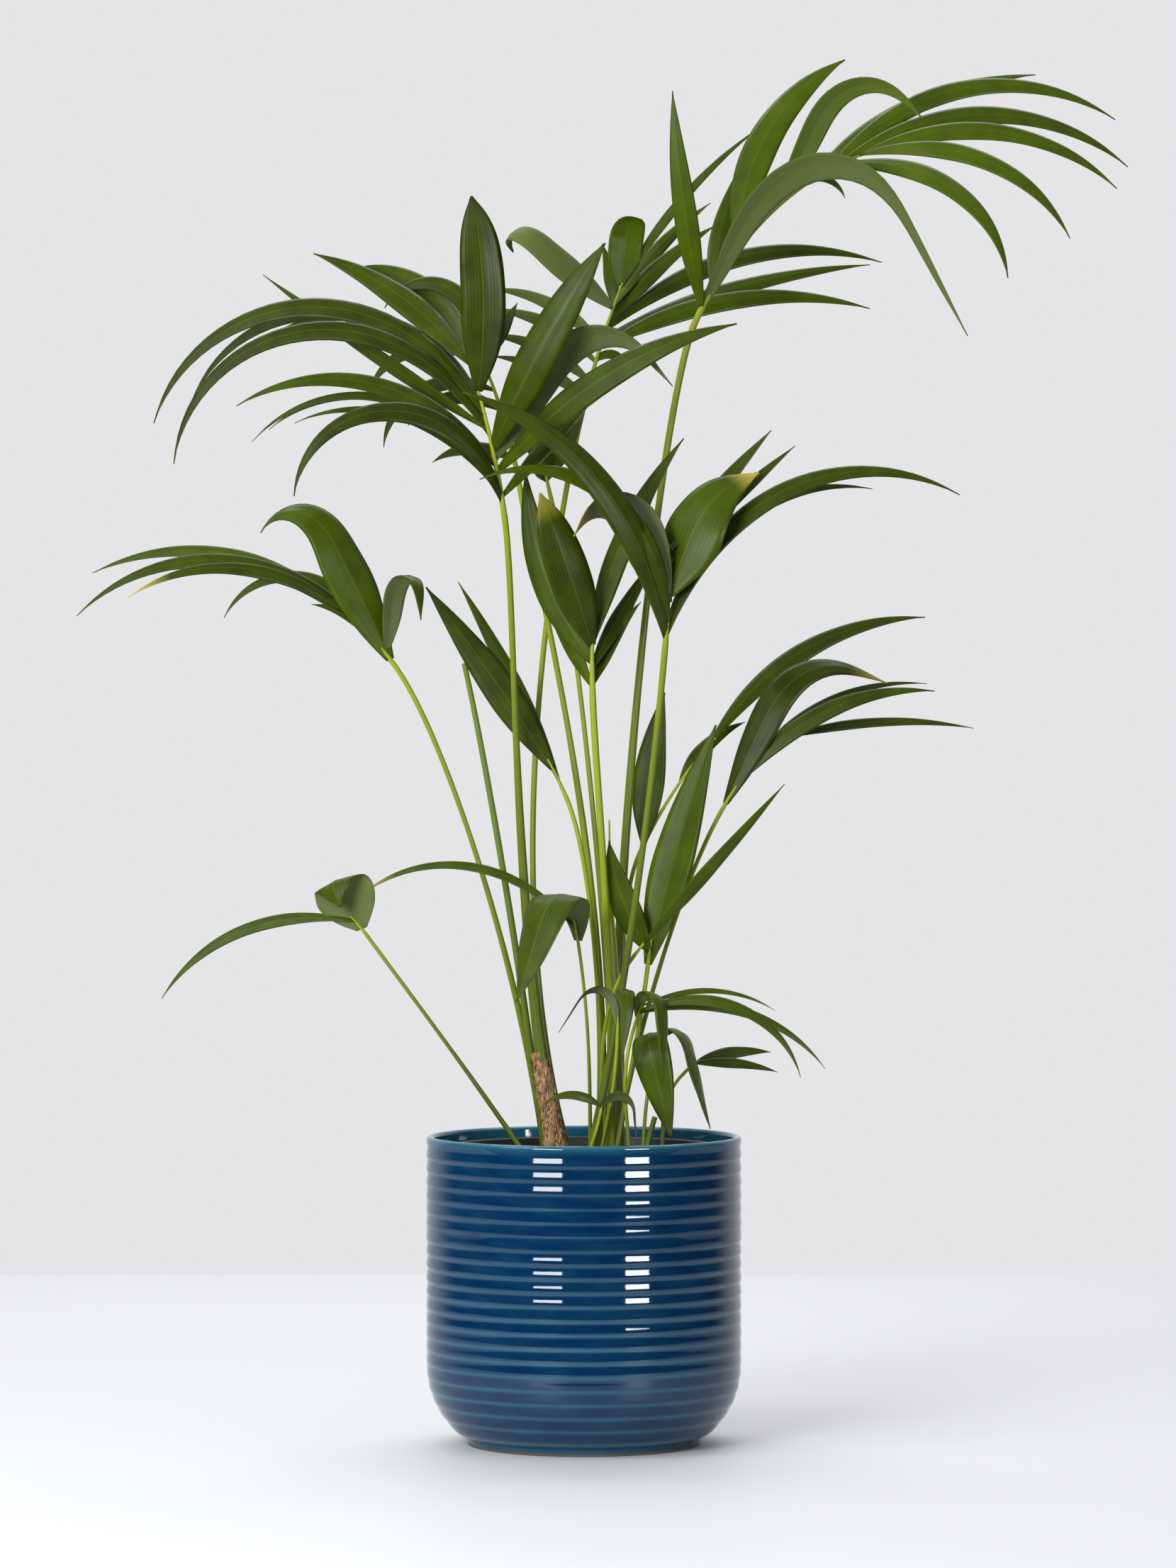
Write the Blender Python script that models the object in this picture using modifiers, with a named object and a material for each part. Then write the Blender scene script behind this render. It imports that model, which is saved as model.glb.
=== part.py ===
"""Potted kentia palm: a clump of arching fronds in a ribbed, glazed pot.

The pot stands on z = 0 with its axis on Z. The viewer stands on the -Y side, +X is to the right.
Sizes are written in millimetres and turned to metres by MM.
"""
import math
from collections import namedtuple

import bmesh
import bpy
from mathutils import Vector

MM = 0.001
GAP = 0.3
MERGE_DISTANCE = 0.00001

POT_HEIGHT = 243.0
POT_RADIUS = 124.4
POT_FOOT_RADIUS = 92.0
POT_FOOT_HEIGHT = 7.0
POT_SHOULDER = 70.0
POT_FOOT_SPREAD = 6.0
POT_FOOT_EDGE = 4.0
POT_FOOT_CHAMFER = 1.0
POT_SWELL = 2.6
POT_WALL = 6.0
POT_FLOOR = 12.0
POT_LIP = 6.0
POT_LIP_ANGLES = (45, 90, 135)
POT_INNER_HEIGHTS = (12.0, 26.0, 45.0, 70.0)
RIB_PITCH = 10.8
RIB_DEPTH = 0.7
RIB_COUNT = 21
RIB_FIRST = 10.4
POT_TURNS = 28

GROW_RIM = 235.0
GROW_TOP_RADIUS = 106.0
GROW_FOOT_RADIUS = 84.0
GROW_WALL = 1.6
GROW_LIP = 4.0
GROW_TURNS = 24
SOIL_TOP = 213.0

TRUNK_FOOT = (-20.0, 5.0)
TRUNK_TOP = (-33.5, 5.0, 300.0)
TRUNK_FLARE = 26.0
TRUNK_WAIST = 18.5
TRUNK_TIP = 15.0
TRUNK_LEANS = (-5.0, -9.0)
TRUNK_FLARE_SHARE = 0.45
TRUNK_CLEARANCE = 2.6
TRUNK_SIDES = 10
TRUNK_SECTIONS = 6

STALK_SIDES = 6
STALK_HANDLE = 0.4
STALK_TIP_HANDLE = 60.0
STALK_SECTIONS = 6
RIB_SECTIONS = 5
RIB_START = 0.95
RIB_END = 1.6
BLADE_SECTIONS = 6
BLADE_LEAST_THICKNESS = 1.3
BLADE_SLENDERNESS = 90.0
BLADE_THINNING = 0.5
BLADE_FOLD = 0.14
BLADE_ROOT = 0.18
BLADE_WIDEST = 0.4
BLADE_TIP = 0.05
BLADE_TAPER = 1.7
BEND_EASE = 1.2
KNEE_SPAN = 0.6
NOD_SECTIONS = 8
SHEATH_SHARE = 0.55
SHEATH_EASE = 0.7

# A leaflet leaves its rib at a share of the rib's length. Its lean is the angle of root to tip,
# clockwise from upright as the viewer sees it, and reach is that distance. Bend is how far it turns
# on the way, depth how far its tip ends behind its root, and turn rolls its upper face upwards.
# The higher the taper, the later it narrows towards its tip.
Leaflet = namedtuple("Leaflet", "at lean reach bend depth width turn taper", defaults=(28, BLADE_TAPER))

# A nodding leaflet starts off at its lean and folds over round its knee, a share of its length.
# Heading is the way it folds: 0 is towards the viewer, 90 clockwise from its own direction.
Nod = namedtuple("Nod", "at lean heading length bend knee width turn taper", defaults=(0, BLADE_TAPER))

# A frond's stalk rises from its foot in the soil to the base of its rib. Stalk holds the diameters
# at the two ends and the lean at the foot, and rib the lean, reach, bend and depth of the rib.
Frond = namedtuple("Frond", "name foot base stalk rib leaflets")

FRONDS = (
    Frond("top_right", (23, 31), (88, 30, 886), (10.0, 5.6, 0), (45, 193, 45, 20), (
        Leaflet(0.06, -8, 171, 9, -35, 19, 10),
        Leaflet(0.15, 14, 110, 17, 70, 17, 10),
        Leaflet(0.35, 29, 178, 63, 60, 30, taper=2.2),
        Nod(0.57, 26, 70, 186, 114, 0.66, 21, -50),
        Leaflet(0.73, 63, 211, 45, 90, 19),
        Leaflet(0.84, 79, 236, 84, 60, 18),
        Leaflet(0.87, 90, 232, 77, 10, 18),
        Leaflet(0.97, 98, 205, 68, -20, 17),
        Leaflet(0.98, 114, 176, 74, -60, 17),
        Leaflet(0.88, 127, 160, 85, -90, 18),
        Nod(0.05, 26, 60, 369, 125, 0.43, 27, -35),
        Leaflet(0.62, 81, 51, 150, 80, 11))),
    Frond("upper_left", (-33, 3), (-62, -60, 731), (11.0, 5.0, -8), (-13, 126, -10, -10), (
        Leaflet(0.77, -2, 150, -20, -20, 35, 8, taper=4),
        Leaflet(0.40, 29, 180, 11, -40, 31, 12, taper=2.4),
        Nod(0.34, 31, 60, 215, 109, 0.60, 30, -30),
        Leaflet(0.26, 59, 216, 37, -60, 26),
        Leaflet(0.10, 41, 138, 4, 30, 15),
        Leaflet(0.94, -54, 154, -35, 60, 24),
        Leaflet(0.97, -49, 119, -80, 90, 20, taper=2.5),
        Leaflet(0.98, -57, 80, -175, 70, 17),
        Leaflet(0.62, -91, 260, -133, 45, 19),
        Leaflet(0.55, -85, 236, -135, 75, 15),
        Leaflet(0.49, -95, 247, -145, 15, 18),
        Leaflet(0.53, -55, 217, 4, 60, 13),
        Leaflet(0.29, -77, 206, -84, -20, 16),
        Leaflet(0.66, -70, 180, -95, 90, 14),
        Leaflet(0.07, -89, 159, -157, -60, 19),
        Leaflet(0.15, -79, 197, -110, 10, 9),
        Leaflet(0.20, -77, 185, -100, 30, 9),
        Leaflet(0.11, -71, 168, -82, -40, 9))),
    Frond("upper_back", (-8, 32), (-2, 84, 815), (5.6, 4.6, -17), (17, 113, 8, 20), (
        Leaflet(0.95, 41, 174, 25, 10, 9),
        Nod(0.97, 6, 25, 70, 105, 0.74, 28, -14, taper=3.5),
        Nod(0.80, -49, -152, 131, 179, 0.85, 24, taper=2.5),
        Leaflet(0.81, -10, 54, -20, 30, 13),
        Leaflet(0.52, -62, 102, -53, 50, 13),
        Leaflet(0.39, -63, 96, -52, 30, 13),
        Leaflet(0.24, -65, 90, -45, 10, 13),
        Leaflet(0.12, -66, 81, -39, -10, 12),
        Leaflet(0.81, 42, 119, 25, 60, 14),
        Leaflet(0.68, 47, 121, 26, 40, 16),
        Leaflet(0.63, 75, 234, 61, 80, 18),
        Leaflet(0.57, 73, 230, 24, 110, 16),
        Leaflet(0.50, 81, 222, 47, 50, 18),
        Leaflet(0.39, 110, 23, 175, 5, 9))),
    Frond("right_front", (1, -34), (63, -70, 626), (7.5, 5.2, 13), (2, 82, -6, -5), (
        Leaflet(0.10, -40, 244, -65, -70, 26),
        Leaflet(0.20, -52, 183, -114, -55, 17),
        Nod(0.43, -20, -60, 140, 129, 0.66, 38, 40),
        Nod(0.51, 22, 125, 128, 51, 0.65, 50, 30),
        Leaflet(0.10, 64, 255, 102, 20, 17),
        Leaflet(0.20, 56, 196, 82, 60, 13),
        Leaflet(0.91, 40, 126, 8, 40, 15),
        Leaflet(0.81, 47, 137, 8, 60, 13))),
    Frond("centre_front", (21, -14), (7, -30, 587), (8.0, 5.6, 2), (0, 69, 4, 0), (
        Leaflet(0.61, -19, 125, -5, -30, 34, 12, taper=3),
        Leaflet(0.42, -19, 159, 33, 5, 28, 12),
        Leaflet(0.14, -24, 104, 10, 20, 15),
        Leaflet(0.61, 24, 178, 28, 15, 21),
        Leaflet(0.34, 30, 100, 10, 30, 15),
        Leaflet(0.14, 30, 77, 28, 20, 13))),
    Frond("left", (-29, 28), (-151, 10, 616), (6.5, 4.2, -7), (-47, 96, -20, 0), (
        Nod(0.03, -26, -118, 183, 134, 0.81, 40, -34),
        Leaflet(0.09, -83, 245, -98, -5, 15),
        Leaflet(0.69, -83, 197, -62, 60, 13),
        Leaflet(0.54, -86, 170, -73, -50, 12),
        Leaflet(0.29, -83, 118, -132, 40, 12),
        Leaflet(0.17, -59, 66, -52, 60, 10),
        Nod(0.08, 7, 34, 119, 163, 0.60, 20))),
    Frond("left_inner", (19, 12), (-14, -5, 510), (6.0, 3.8, -3), (-26, 34, -6, 4), (
        Leaflet(0.72, -35, 175, -5, 10, 27, 10),
        Leaflet(0.45, -27, 175, -8, 18, 16))),
    Frond("right_low", (22, 52), (110, 20, 501), (5.0, 3.6, 10), (40, 80, 22, 0), (
        Nod(0.05, 25, 120, 203, 88, 0.62, 28, 35),
        Leaflet(0.30, 65, 170, 57, -10, 16),
        Leaflet(0.87, 87, 157, 26, 30, 9),
        Leaflet(0.38, 64, 166, 59, 80, 9))),
    Frond("right_inner", (26, 42), (46, 45, 469), (4.6, 3.6, 6), (34, 106, 16, 20), (
        Leaflet(0.03, 8, 122, 12, 15, 26, 12),
        Leaflet(0.57, 48, 71, 44, 30, 13),
        Leaflet(0.95, 60, 201, 56, 60, 18))),
    Frond("low_pair", (23, -30), (50, -15, 376), (5.0, 3.8, 8), (8, 23, 2, 0), (
        Leaflet(0.55, -20, 93, 28, -1, 23, 8),
        Leaflet(0.10, 16, 196, 8, 20, 33, 8))),
    Frond("low_single", (9, -22), (39, -34, 386), (4.0, 3.2, 9), (39, 18, 4, 0), (
        Leaflet(0.70, 41, 166, 0, -30, 12),)),
    Frond("low_left", (-35, -25), (-169, -60, 403), (5.0, 3.2, -34), (-40, 20, -8, 0), (
        Leaflet(0.70, -112, 164, -68, 20, 11),
        Nod(0.30, -24, -18, 74, 178, 0.65, 50))),
    Frond("low_centre", (5, -12), (-4, -50, 394), (3.8, 2.8, 0), (-10, 22, -4, 0), (
        Nod(0.20, 3, -34, 153, 156, 0.29, 42),
        Leaflet(0.60, -83, 175, -92, 20, 8))),
    Frond("young_left", (10, -56), (26, -58, 322), (4.0, 3.0, 9), (2, 18, 0, 0), (
        Nod(0.40, -7, -60, 90, 137, 0.41, 10, 30),
        Nod(0.60, 8, 10, 99, 170, 0.36, 12))),
    Frond("young_right", (36, -62), (40, -70, 335), (4.0, 3.0, 0), (20, 16, 4, 0), (
        Nod(0.30, 0, 40, 101, 178, 0.27, 18, -15),
        Leaflet(0.60, 112, 134, 98, -20, 10),
        Leaflet(0.50, 107, 152, 68, 25, 9),
        Leaflet(0.85, 92, 104, 58, 5, 5))),
    Frond("foot_front", (-1, -74), (13, -76, 266), (3.6, 2.8, 7), (9, 6, 0, 0), (
        Leaflet(0.66, -86, 44, -80, -10, 8),
        Nod(0.84, 49, 60, 63, 124, 0.33, 14, -20))),
    Frond("foot_right", (46, -26), (54, -20, 298), (4.0, 3.0, 2), (14, 20, 4, 0), (
        Nod(0.70, -14, -9, 115, 178, 0.20, 30),
        Nod(0.90, -12, 51, 110, 178, 0.17, 26, -20))),
    Frond("foot_back_right", (60, 2), (81, 20, 293), (4.0, 3.0, 8), (50, 14, 6, 0), (
        Leaflet(0.80, 84, 59, 25, 15, 11),
        Leaflet(0.60, 96, 66, 25, -4, 9))),
    Frond("mid_back", (25, 20), (-26, 30, 746), (6.0, 4.0, -1), (-12, 29, 2, 0), (
        Leaflet(0.86, -18, 61, 25, 15, 15),
        Leaflet(0.90, -4, 63, -7, 35, 15),
        Leaflet(0.74, 15, 67, -19, 30, 15),
        Leaflet(0.50, 29, 62, 4, 20, 13),
        Leaflet(0.45, -39, 25, -24, 5, 11))),
    Frond("back_left", (11, 18), (-50, 42, 750), (9.0, 4.8, 5), (-18, 141, -18, 5), (
        Leaflet(0.78, -103, 94, -103, 40, 15),
        Leaflet(0.60, -116, 99, -113, 30, 14),
        Leaflet(0.94, -50, 75, -4, 12, 17),
        Leaflet(0.98, 4, 90, 2, 22, 17),
        Leaflet(0.78, 30, 55, 4, 20, 15),
        Leaflet(0.48, -98, 75, -97, 20, 13),
        Leaflet(0.37, 31, 77, 8, 20, 14),
        Leaflet(0.20, -92, 65, -68, 10, 13))),
)

CutStalk = namedtuple("CutStalk", "name foot tip lean widths")
CUT_STALKS = (
    CutStalk("cut_stalk", (-41, 10), (-95, 25, 616), (-8, -13), (5.8, 4.4)),
    CutStalk("cut_stub", (46, -8), (56, -2, 258), (6, 16), (5.0, 4.4)),
    CutStalk("sheath", (25, 0), (18, -3, 428), (0, -6), (15.0, 9.0)),
    CutStalk("spear", (28, 12), (20, 4, 492), (-1, 0), (5.0, 1.6)),
)
ON_TRUNK = ("upper_left", "cut_stalk")
FRESH = ("sheath", "spear")

GLAZE = ((0.006, 0.040, 0.130), 0.12)
BLACK_PLASTIC = ((0.012, 0.012, 0.013), 0.5)
POTTING_SOIL = ((0.040, 0.024, 0.014), 0.95)
FIBRE = ((0.130, 0.070, 0.032), 0.85)
STALK_GREEN = ((0.270, 0.420, 0.050), 0.45)
CUT_BROWN = ((0.160, 0.150, 0.040), 0.6)
LEAF_GREEN = ((0.035, 0.095, 0.010), 0.4)


def clear_scene():
    """Remove every object of the scene."""
    for item in list(bpy.data.objects):
        bpy.data.objects.remove(item, do_unlink=True)


def collection(name):
    """Make a collection in the scene."""
    group = bpy.data.collections.new(name)
    bpy.context.scene.collection.children.link(group)
    return group


def material(name, finish):
    """Make a Principled material from a colour and a roughness."""
    colour, roughness = finish
    made = bpy.data.materials.new(name)
    made.use_nodes = True
    shader = made.node_tree.nodes["Principled BSDF"]
    shader.inputs["Base Color"].default_value = (*colour, 1.0)
    shader.inputs["Roughness"].default_value = roughness
    shader.inputs["Metallic"].default_value = 0.0
    return made


def add_object(name, mesh, group, finish):
    """Link a mesh to a collection as an object with its own material."""
    made = bpy.data.objects.new(name, mesh)
    mesh.materials.append(material(name, finish))
    group.objects.link(made)
    return made


def direction(lean):
    """Unit vector in the front plane, leaning clockwise from upright by degrees."""
    angle = math.radians(lean)
    return Vector((math.sin(angle), 0.0, math.cos(angle)))


def arc(start, lean, reach, bend, depth, sections):
    """Points and tangents along a curve that turns by bend, more of it towards the tip."""
    fine = 4 * sections
    points = [Vector((0.0, 0.0, 0.0))]
    for step in range(fine):
        share = (step + 0.5) / fine
        points.append(points[-1] + direction(bend * share ** BEND_EASE) / fine)
    chord = points[-1]
    turned = math.radians(lean) - math.atan2(chord.x, chord.z)
    scale = reach / chord.length
    path = []
    for step in range(0, fine + 1, 4):
        share = step / fine
        point = points[step] * scale
        x = point.x * math.cos(turned) + point.z * math.sin(turned)
        z = point.z * math.cos(turned) - point.x * math.sin(turned)
        along = direction(bend * share ** BEND_EASE + math.degrees(turned)) * scale
        along.y = 2.0 * depth * (1.0 - share)
        path.append((start + Vector((x, depth * share * (2.0 - share), z)), along.normalized()))
    return path


def stem_curve(foot, tip, foot_way, tip_way, sections):
    """Points and tangents along a stalk that leaves its foot and reaches its tip in given ways."""
    handle = STALK_HANDLE * (tip - foot).length
    near = foot + foot_way * handle
    far = tip - tip_way * min(handle, STALK_TIP_HANDLE)
    path = []
    for step in range(sections + 1):
        t = step / sections
        u = 1.0 - t
        point = foot * u ** 3 + near * (3 * u * u * t) + far * (3 * u * t * t) + tip * t ** 3
        along = (near - foot) * (u * u) + (far - near) * (2 * u * t) + (tip - far) * (t * t)
        path.append((point, along.normalized()))
    return path


def nod(start, leaflet, sections):
    """Points, tangents and upper sides along a leaflet that folds over round its knee."""
    rise, front = direction(leaflet.lean), Vector((0.0, -1.0, 0.0))
    heading, turn = math.radians(leaflet.heading), math.radians(leaflet.turn)
    over = front * math.cos(heading) + rise.cross(front) * math.sin(heading)
    fine = 4 * sections
    point = start.copy()
    path = []
    for step in range(2 * fine + 1):
        share = min(1.0, max(0.0, (step / (2 * fine) - leaflet.knee) / KNEE_SPAN + 0.5))
        angle = math.radians(leaflet.bend) * share * share * (3.0 - 2.0 * share)
        tangent = rise * math.cos(angle) + over * math.sin(angle)
        if step % 2:
            point = point + tangent * (leaflet.length / fine)
        elif step % 8 == 0:
            upper = rise * math.sin(angle) - over * math.cos(angle)
            upper = upper * math.cos(turn) + tangent.cross(upper) * math.sin(turn)
            path.append((point, tangent, upper))
    return path


def square_front(tangent):
    """The viewer's side of a path, square to its tangent."""
    front = Vector((0.0, -1.0, 0.0))
    return (front - tangent * front.dot(tangent)).normalized()


def leaf_path(start, leaflet, sections):
    """Points, tangents and upper sides along a leaflet of either kind."""
    if isinstance(leaflet, Nod):
        return nod(start, leaflet, sections)
    turn = math.radians(leaflet.turn)
    side = -1.0 if leaflet.bend > 0 else 1.0
    path = []
    for point, tangent in arc(start, leaflet.lean, leaflet.reach, leaflet.bend, leaflet.depth, sections):
        front = square_front(tangent)
        upper = front * math.cos(turn) + tangent.cross(front) * (side * math.sin(turn))
        path.append((point, tangent, upper))
    return path


def sweep(path, sides, place, flat_foot=False):
    """Loft a prism along a path: place moves a corner of the unit ring to its offset."""
    sections = len(path) - 1
    form = bmesh.new()
    bmesh.ops.create_cone(form, cap_ends=True, segments=sides, radius1=1.0, radius2=1.0, depth=1.0)
    rails = [edge for edge in form.edges if abs(edge.verts[0].co.z - edge.verts[1].co.z) > 0.5]
    bmesh.ops.subdivide_edges(form, edges=rails, cuts=sections - 1)
    for vert in form.verts:
        index = round((vert.co.z + 0.5) * sections)
        offset = place(index, Vector((vert.co.x, vert.co.y)))
        point, tangent = path[index][:2]
        if flat_foot and index == 0:
            offset -= tangent * (offset.z / tangent.z)
        vert.co = (point + offset) * MM
    mesh = bpy.data.meshes.new("sweep")
    form.to_mesh(mesh)
    form.free()
    return mesh


def limb(path, width_at, sides=STALK_SIDES, flat_foot=False):
    """Loft a round, tapering limb along a path."""
    def place(index, corner):
        tangent = path[index][1]
        front = square_front(tangent)
        across = front.cross(tangent)
        return (across * corner.x + front * corner.y) * (width_at(index / (len(path) - 1)) / 2.0)
    return sweep(path, sides, place, flat_foot)


def stalk_width(foot_width, top_width):
    """Width along a stalk, from its sheathing foot to its slender top."""
    def width(share):
        narrowed = min(1.0, share / SHEATH_SHARE) ** SHEATH_EASE
        return foot_width + (top_width - foot_width) * narrowed
    return width


def blade_width(share, taper):
    """Width of a leaflet along its length, as a part of its widest."""
    if share < BLADE_WIDEST:
        return BLADE_ROOT + (1.0 - BLADE_ROOT) * math.sin(math.pi / 2 * share / BLADE_WIDEST)
    return max(BLADE_TIP, 1.0 - ((share - BLADE_WIDEST) / (1.0 - BLADE_WIDEST)) ** taper)


def blade(start, leaflet):
    """Loft a leaflet: a thin blade, folded a little along its midrib."""
    sections = NOD_SECTIONS if isinstance(leaflet, Nod) else BLADE_SECTIONS
    path = leaf_path(start, leaflet, sections)
    length = sum((b[0] - a[0]).length for a, b in zip(path, path[1:]))
    thickness = max(BLADE_LEAST_THICKNESS, length / BLADE_SLENDERNESS)

    def place(index, corner):
        share = index / sections
        tangent, upper = path[index][1:]
        half = leaflet.width * blade_width(share, leaflet.taper) / 2.0
        if corner.y > 0.5:
            return upper * (thickness * (1.0 - BLADE_THINNING * share))
        return upper.cross(tangent) * math.copysign(half, corner.x) - upper * (BLADE_FOLD * half)
    return sweep(path, 3, place)


def join(body, pieces, name):
    """Fuse loose pieces with a body by one union, and remove them."""
    group = collection(name + "_pieces")
    for index, mesh in enumerate(pieces):
        group.objects.link(bpy.data.objects.new(f"{name}_piece_{index}", mesh))
    union = body.modifiers.new("union", "BOOLEAN")
    union.operation = "UNION"
    union.operand_type = "COLLECTION"
    union.collection = group
    union.solver = "MANIFOLD"
    depsgraph = bpy.context.evaluated_depsgraph_get()
    joined = bpy.data.meshes.new_from_object(body.evaluated_get(depsgraph))
    body.modifiers.clear()
    body.data = joined
    for piece in list(group.objects):
        bpy.data.objects.remove(piece, do_unlink=True)
    bpy.data.collections.remove(group)


def screw(name, profile, steps, group, finish):
    """Turn a profile, given as radius and height, round the Z axis."""
    mesh = bpy.data.meshes.new(name)
    form = bmesh.new()
    verts = [form.verts.new((radius * MM, 0.0, height * MM)) for radius, height in profile]
    for first, second in zip(verts, verts[1:]):
        form.edges.new((first, second))
    form.to_mesh(mesh)
    form.free()
    turned = add_object(name, mesh, group, finish)
    spin = turned.modifiers.new("turn", "SCREW")
    spin.axis = "Z"
    spin.angle = math.tau
    spin.steps = steps
    spin.render_steps = steps
    spin.use_merge_vertices = True
    spin.merge_threshold = MERGE_DISTANCE
    return turned


def pot_radius(height):
    """Outer radius of the pot at a height, without its ribs."""
    share = min(1.0, (height - POT_FOOT_HEIGHT) / (POT_SHOULDER - POT_FOOT_HEIGHT))
    lower = POT_FOOT_RADIUS + POT_FOOT_SPREAD
    return lower + (POT_RADIUS - lower) * (1.0 - (1.0 - share) ** POT_SWELL)


def pot_profile():
    """Profile from the inside floor, up the inner wall, over the lip and down the ribs."""
    inner_top = POT_RADIUS - POT_WALL
    inner = [(0.0, POT_FLOOR)]
    for height in POT_INNER_HEIGHTS:
        inner.append((pot_radius(height) - POT_WALL, height))
    lip = POT_LIP / 2.0
    middle = inner_top + lip
    rim = POT_HEIGHT - lip
    inner.append((inner_top, rim))
    for angle in POT_LIP_ANGLES:
        turn = math.radians(angle)
        inner.append((middle - lip * math.cos(turn), rim + lip * math.sin(turn)))
    outer = [(POT_RADIUS, rim)]
    for index in range(RIB_COUNT):
        crest = POT_HEIGHT - RIB_FIRST - index * RIB_PITCH
        groove = crest + RIB_PITCH / 2.0
        outer.append((pot_radius(groove) - RIB_DEPTH, groove))
        outer.append((pot_radius(crest), crest))
    outer.append((POT_FOOT_RADIUS + POT_FOOT_EDGE, POT_FOOT_HEIGHT))
    outer.append((POT_FOOT_RADIUS, POT_FOOT_HEIGHT - POT_FOOT_CHAMFER))
    outer.append((POT_FOOT_RADIUS, 0.0))
    outer.append((0.0, 0.0))
    return inner + outer


def grow_pot_profile():
    """Profile of the thin liner that holds the soil, from its floor over its rolled rim."""
    foot = POT_FLOOR + GAP
    return ((0.0, foot + GROW_WALL),
            (GROW_FOOT_RADIUS - GROW_WALL, foot + GROW_WALL),
            (GROW_TOP_RADIUS - GROW_WALL, GROW_RIM),
            (GROW_TOP_RADIUS + GROW_LIP, GROW_RIM),
            (GROW_TOP_RADIUS + GROW_LIP, GROW_RIM - GROW_LIP),
            (GROW_TOP_RADIUS, GROW_RIM - GROW_LIP),
            (GROW_FOOT_RADIUS, foot),
            (0.0, foot))


def soil_profile():
    """Profile of the soil, clear of the liner all round."""
    foot = POT_FLOOR + GAP + GROW_WALL + GAP
    rise = GROW_RIM - POT_FLOOR - GAP - GROW_WALL
    spread = (GROW_TOP_RADIUS - GROW_FOOT_RADIUS) / rise
    low = GROW_FOOT_RADIUS - GROW_WALL - 2 * GAP
    high = low + spread * (SOIL_TOP - foot)
    return (0.0, SOIL_TOP), (high, SOIL_TOP), (low, foot), (0.0, foot)


def make_pot(group):
    """Make the pot, the liner and the soil."""
    screw("pot", pot_profile(), POT_TURNS, group, GLAZE)
    screw("grow_pot", grow_pot_profile(), GROW_TURNS, group, BLACK_PLASTIC)
    screw("soil", soil_profile(), GROW_TURNS, group, POTTING_SOIL)


def make_trunk(group):
    """Make the short fibrous trunk, flared at the soil."""
    foot = Vector((*TRUNK_FOOT, SOIL_TOP + GAP))
    top = Vector(TRUNK_TOP)
    foot_way, top_way = (direction(lean) for lean in TRUNK_LEANS)
    path = stem_curve(foot, top, foot_way, top_way, TRUNK_SECTIONS)

    def width(share):
        body = TRUNK_WAIST + (TRUNK_TIP - TRUNK_WAIST) * share
        return body + (TRUNK_FLARE - TRUNK_WAIST) * (1.0 - min(1.0, share / TRUNK_FLARE_SHARE)) ** 2
    add_object("trunk", limb(path, width, TRUNK_SIDES, flat_foot=True), group, FIBRE)


def stalk_foot(name, foot):
    """Lowest point of a stalk, on the soil or on the trunk's top."""
    if name in ON_TRUNK:
        return Vector((*foot, TRUNK_TOP[2] + TRUNK_CLEARANCE))
    return Vector((*foot, SOIL_TOP + GAP))


def make_frond(frond, group):
    """Make a frond's stalk, and its rib with the leaflets fused on."""
    lean, reach, bend, depth = frond.rib
    foot_width, top_width, foot_lean = frond.stalk
    base = Vector(frond.base)
    rib_way = arc(base, lean, reach, bend, depth, RIB_SECTIONS)[0][1]
    foot = stalk_foot(frond.name, frond.foot)
    stalk = stem_curve(foot, base, direction(foot_lean), rib_way, STALK_SECTIONS)
    mesh = limb(stalk, stalk_width(foot_width, top_width), flat_foot=True)
    add_object("stalk_" + frond.name, mesh, group, STALK_GREEN)

    rib = arc(base + rib_way * GAP, lean, reach, bend, depth, RIB_SECTIONS)
    mesh = limb(rib, lambda share: top_width * RIB_START * (1.0 - share) + RIB_END * share)
    body = add_object("frond_" + frond.name, mesh, group, LEAF_GREEN)
    pieces = []
    for leaflet in frond.leaflets:
        place = leaflet.at * RIB_SECTIONS
        index = min(int(place), RIB_SECTIONS - 1)
        root = rib[index][0].lerp(rib[index + 1][0], place - index)
        pieces.append(blade(root, leaflet))
    join(body, pieces, frond.name)


def make_cut_stalk(cut, group):
    """Make a stalk that ends in a cut or a closed tip, with no leaflets."""
    foot_width, tip_width = cut.widths
    ways = (direction(lean) for lean in cut.lean)
    path = stem_curve(stalk_foot(cut.name, cut.foot), Vector(cut.tip), *ways, STALK_SECTIONS)
    mesh = limb(path, lambda share: foot_width + (tip_width - foot_width) * share, flat_foot=True)
    add_object(cut.name, mesh, group, STALK_GREEN if cut.name in FRESH else CUT_BROWN)


def main():
    """Build the palm in its pot."""
    clear_scene()
    palm = collection("potted_kentia_palm")
    make_pot(palm)
    make_trunk(palm)
    for frond in FRONDS:
        make_frond(frond, palm)
    for cut in CUT_STALKS:
        make_cut_stalk(cut, palm)


main()
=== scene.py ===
"""Looks of a potted kentia palm: glazed pot, liner and soil, fibrous trunk, stalks and leaflets.

Run as a script in Blender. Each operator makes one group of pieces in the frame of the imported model.
Plant sizes are written in millimetres, with the viewer on the -Y side, and turned to metres by MM.
"""

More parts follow.
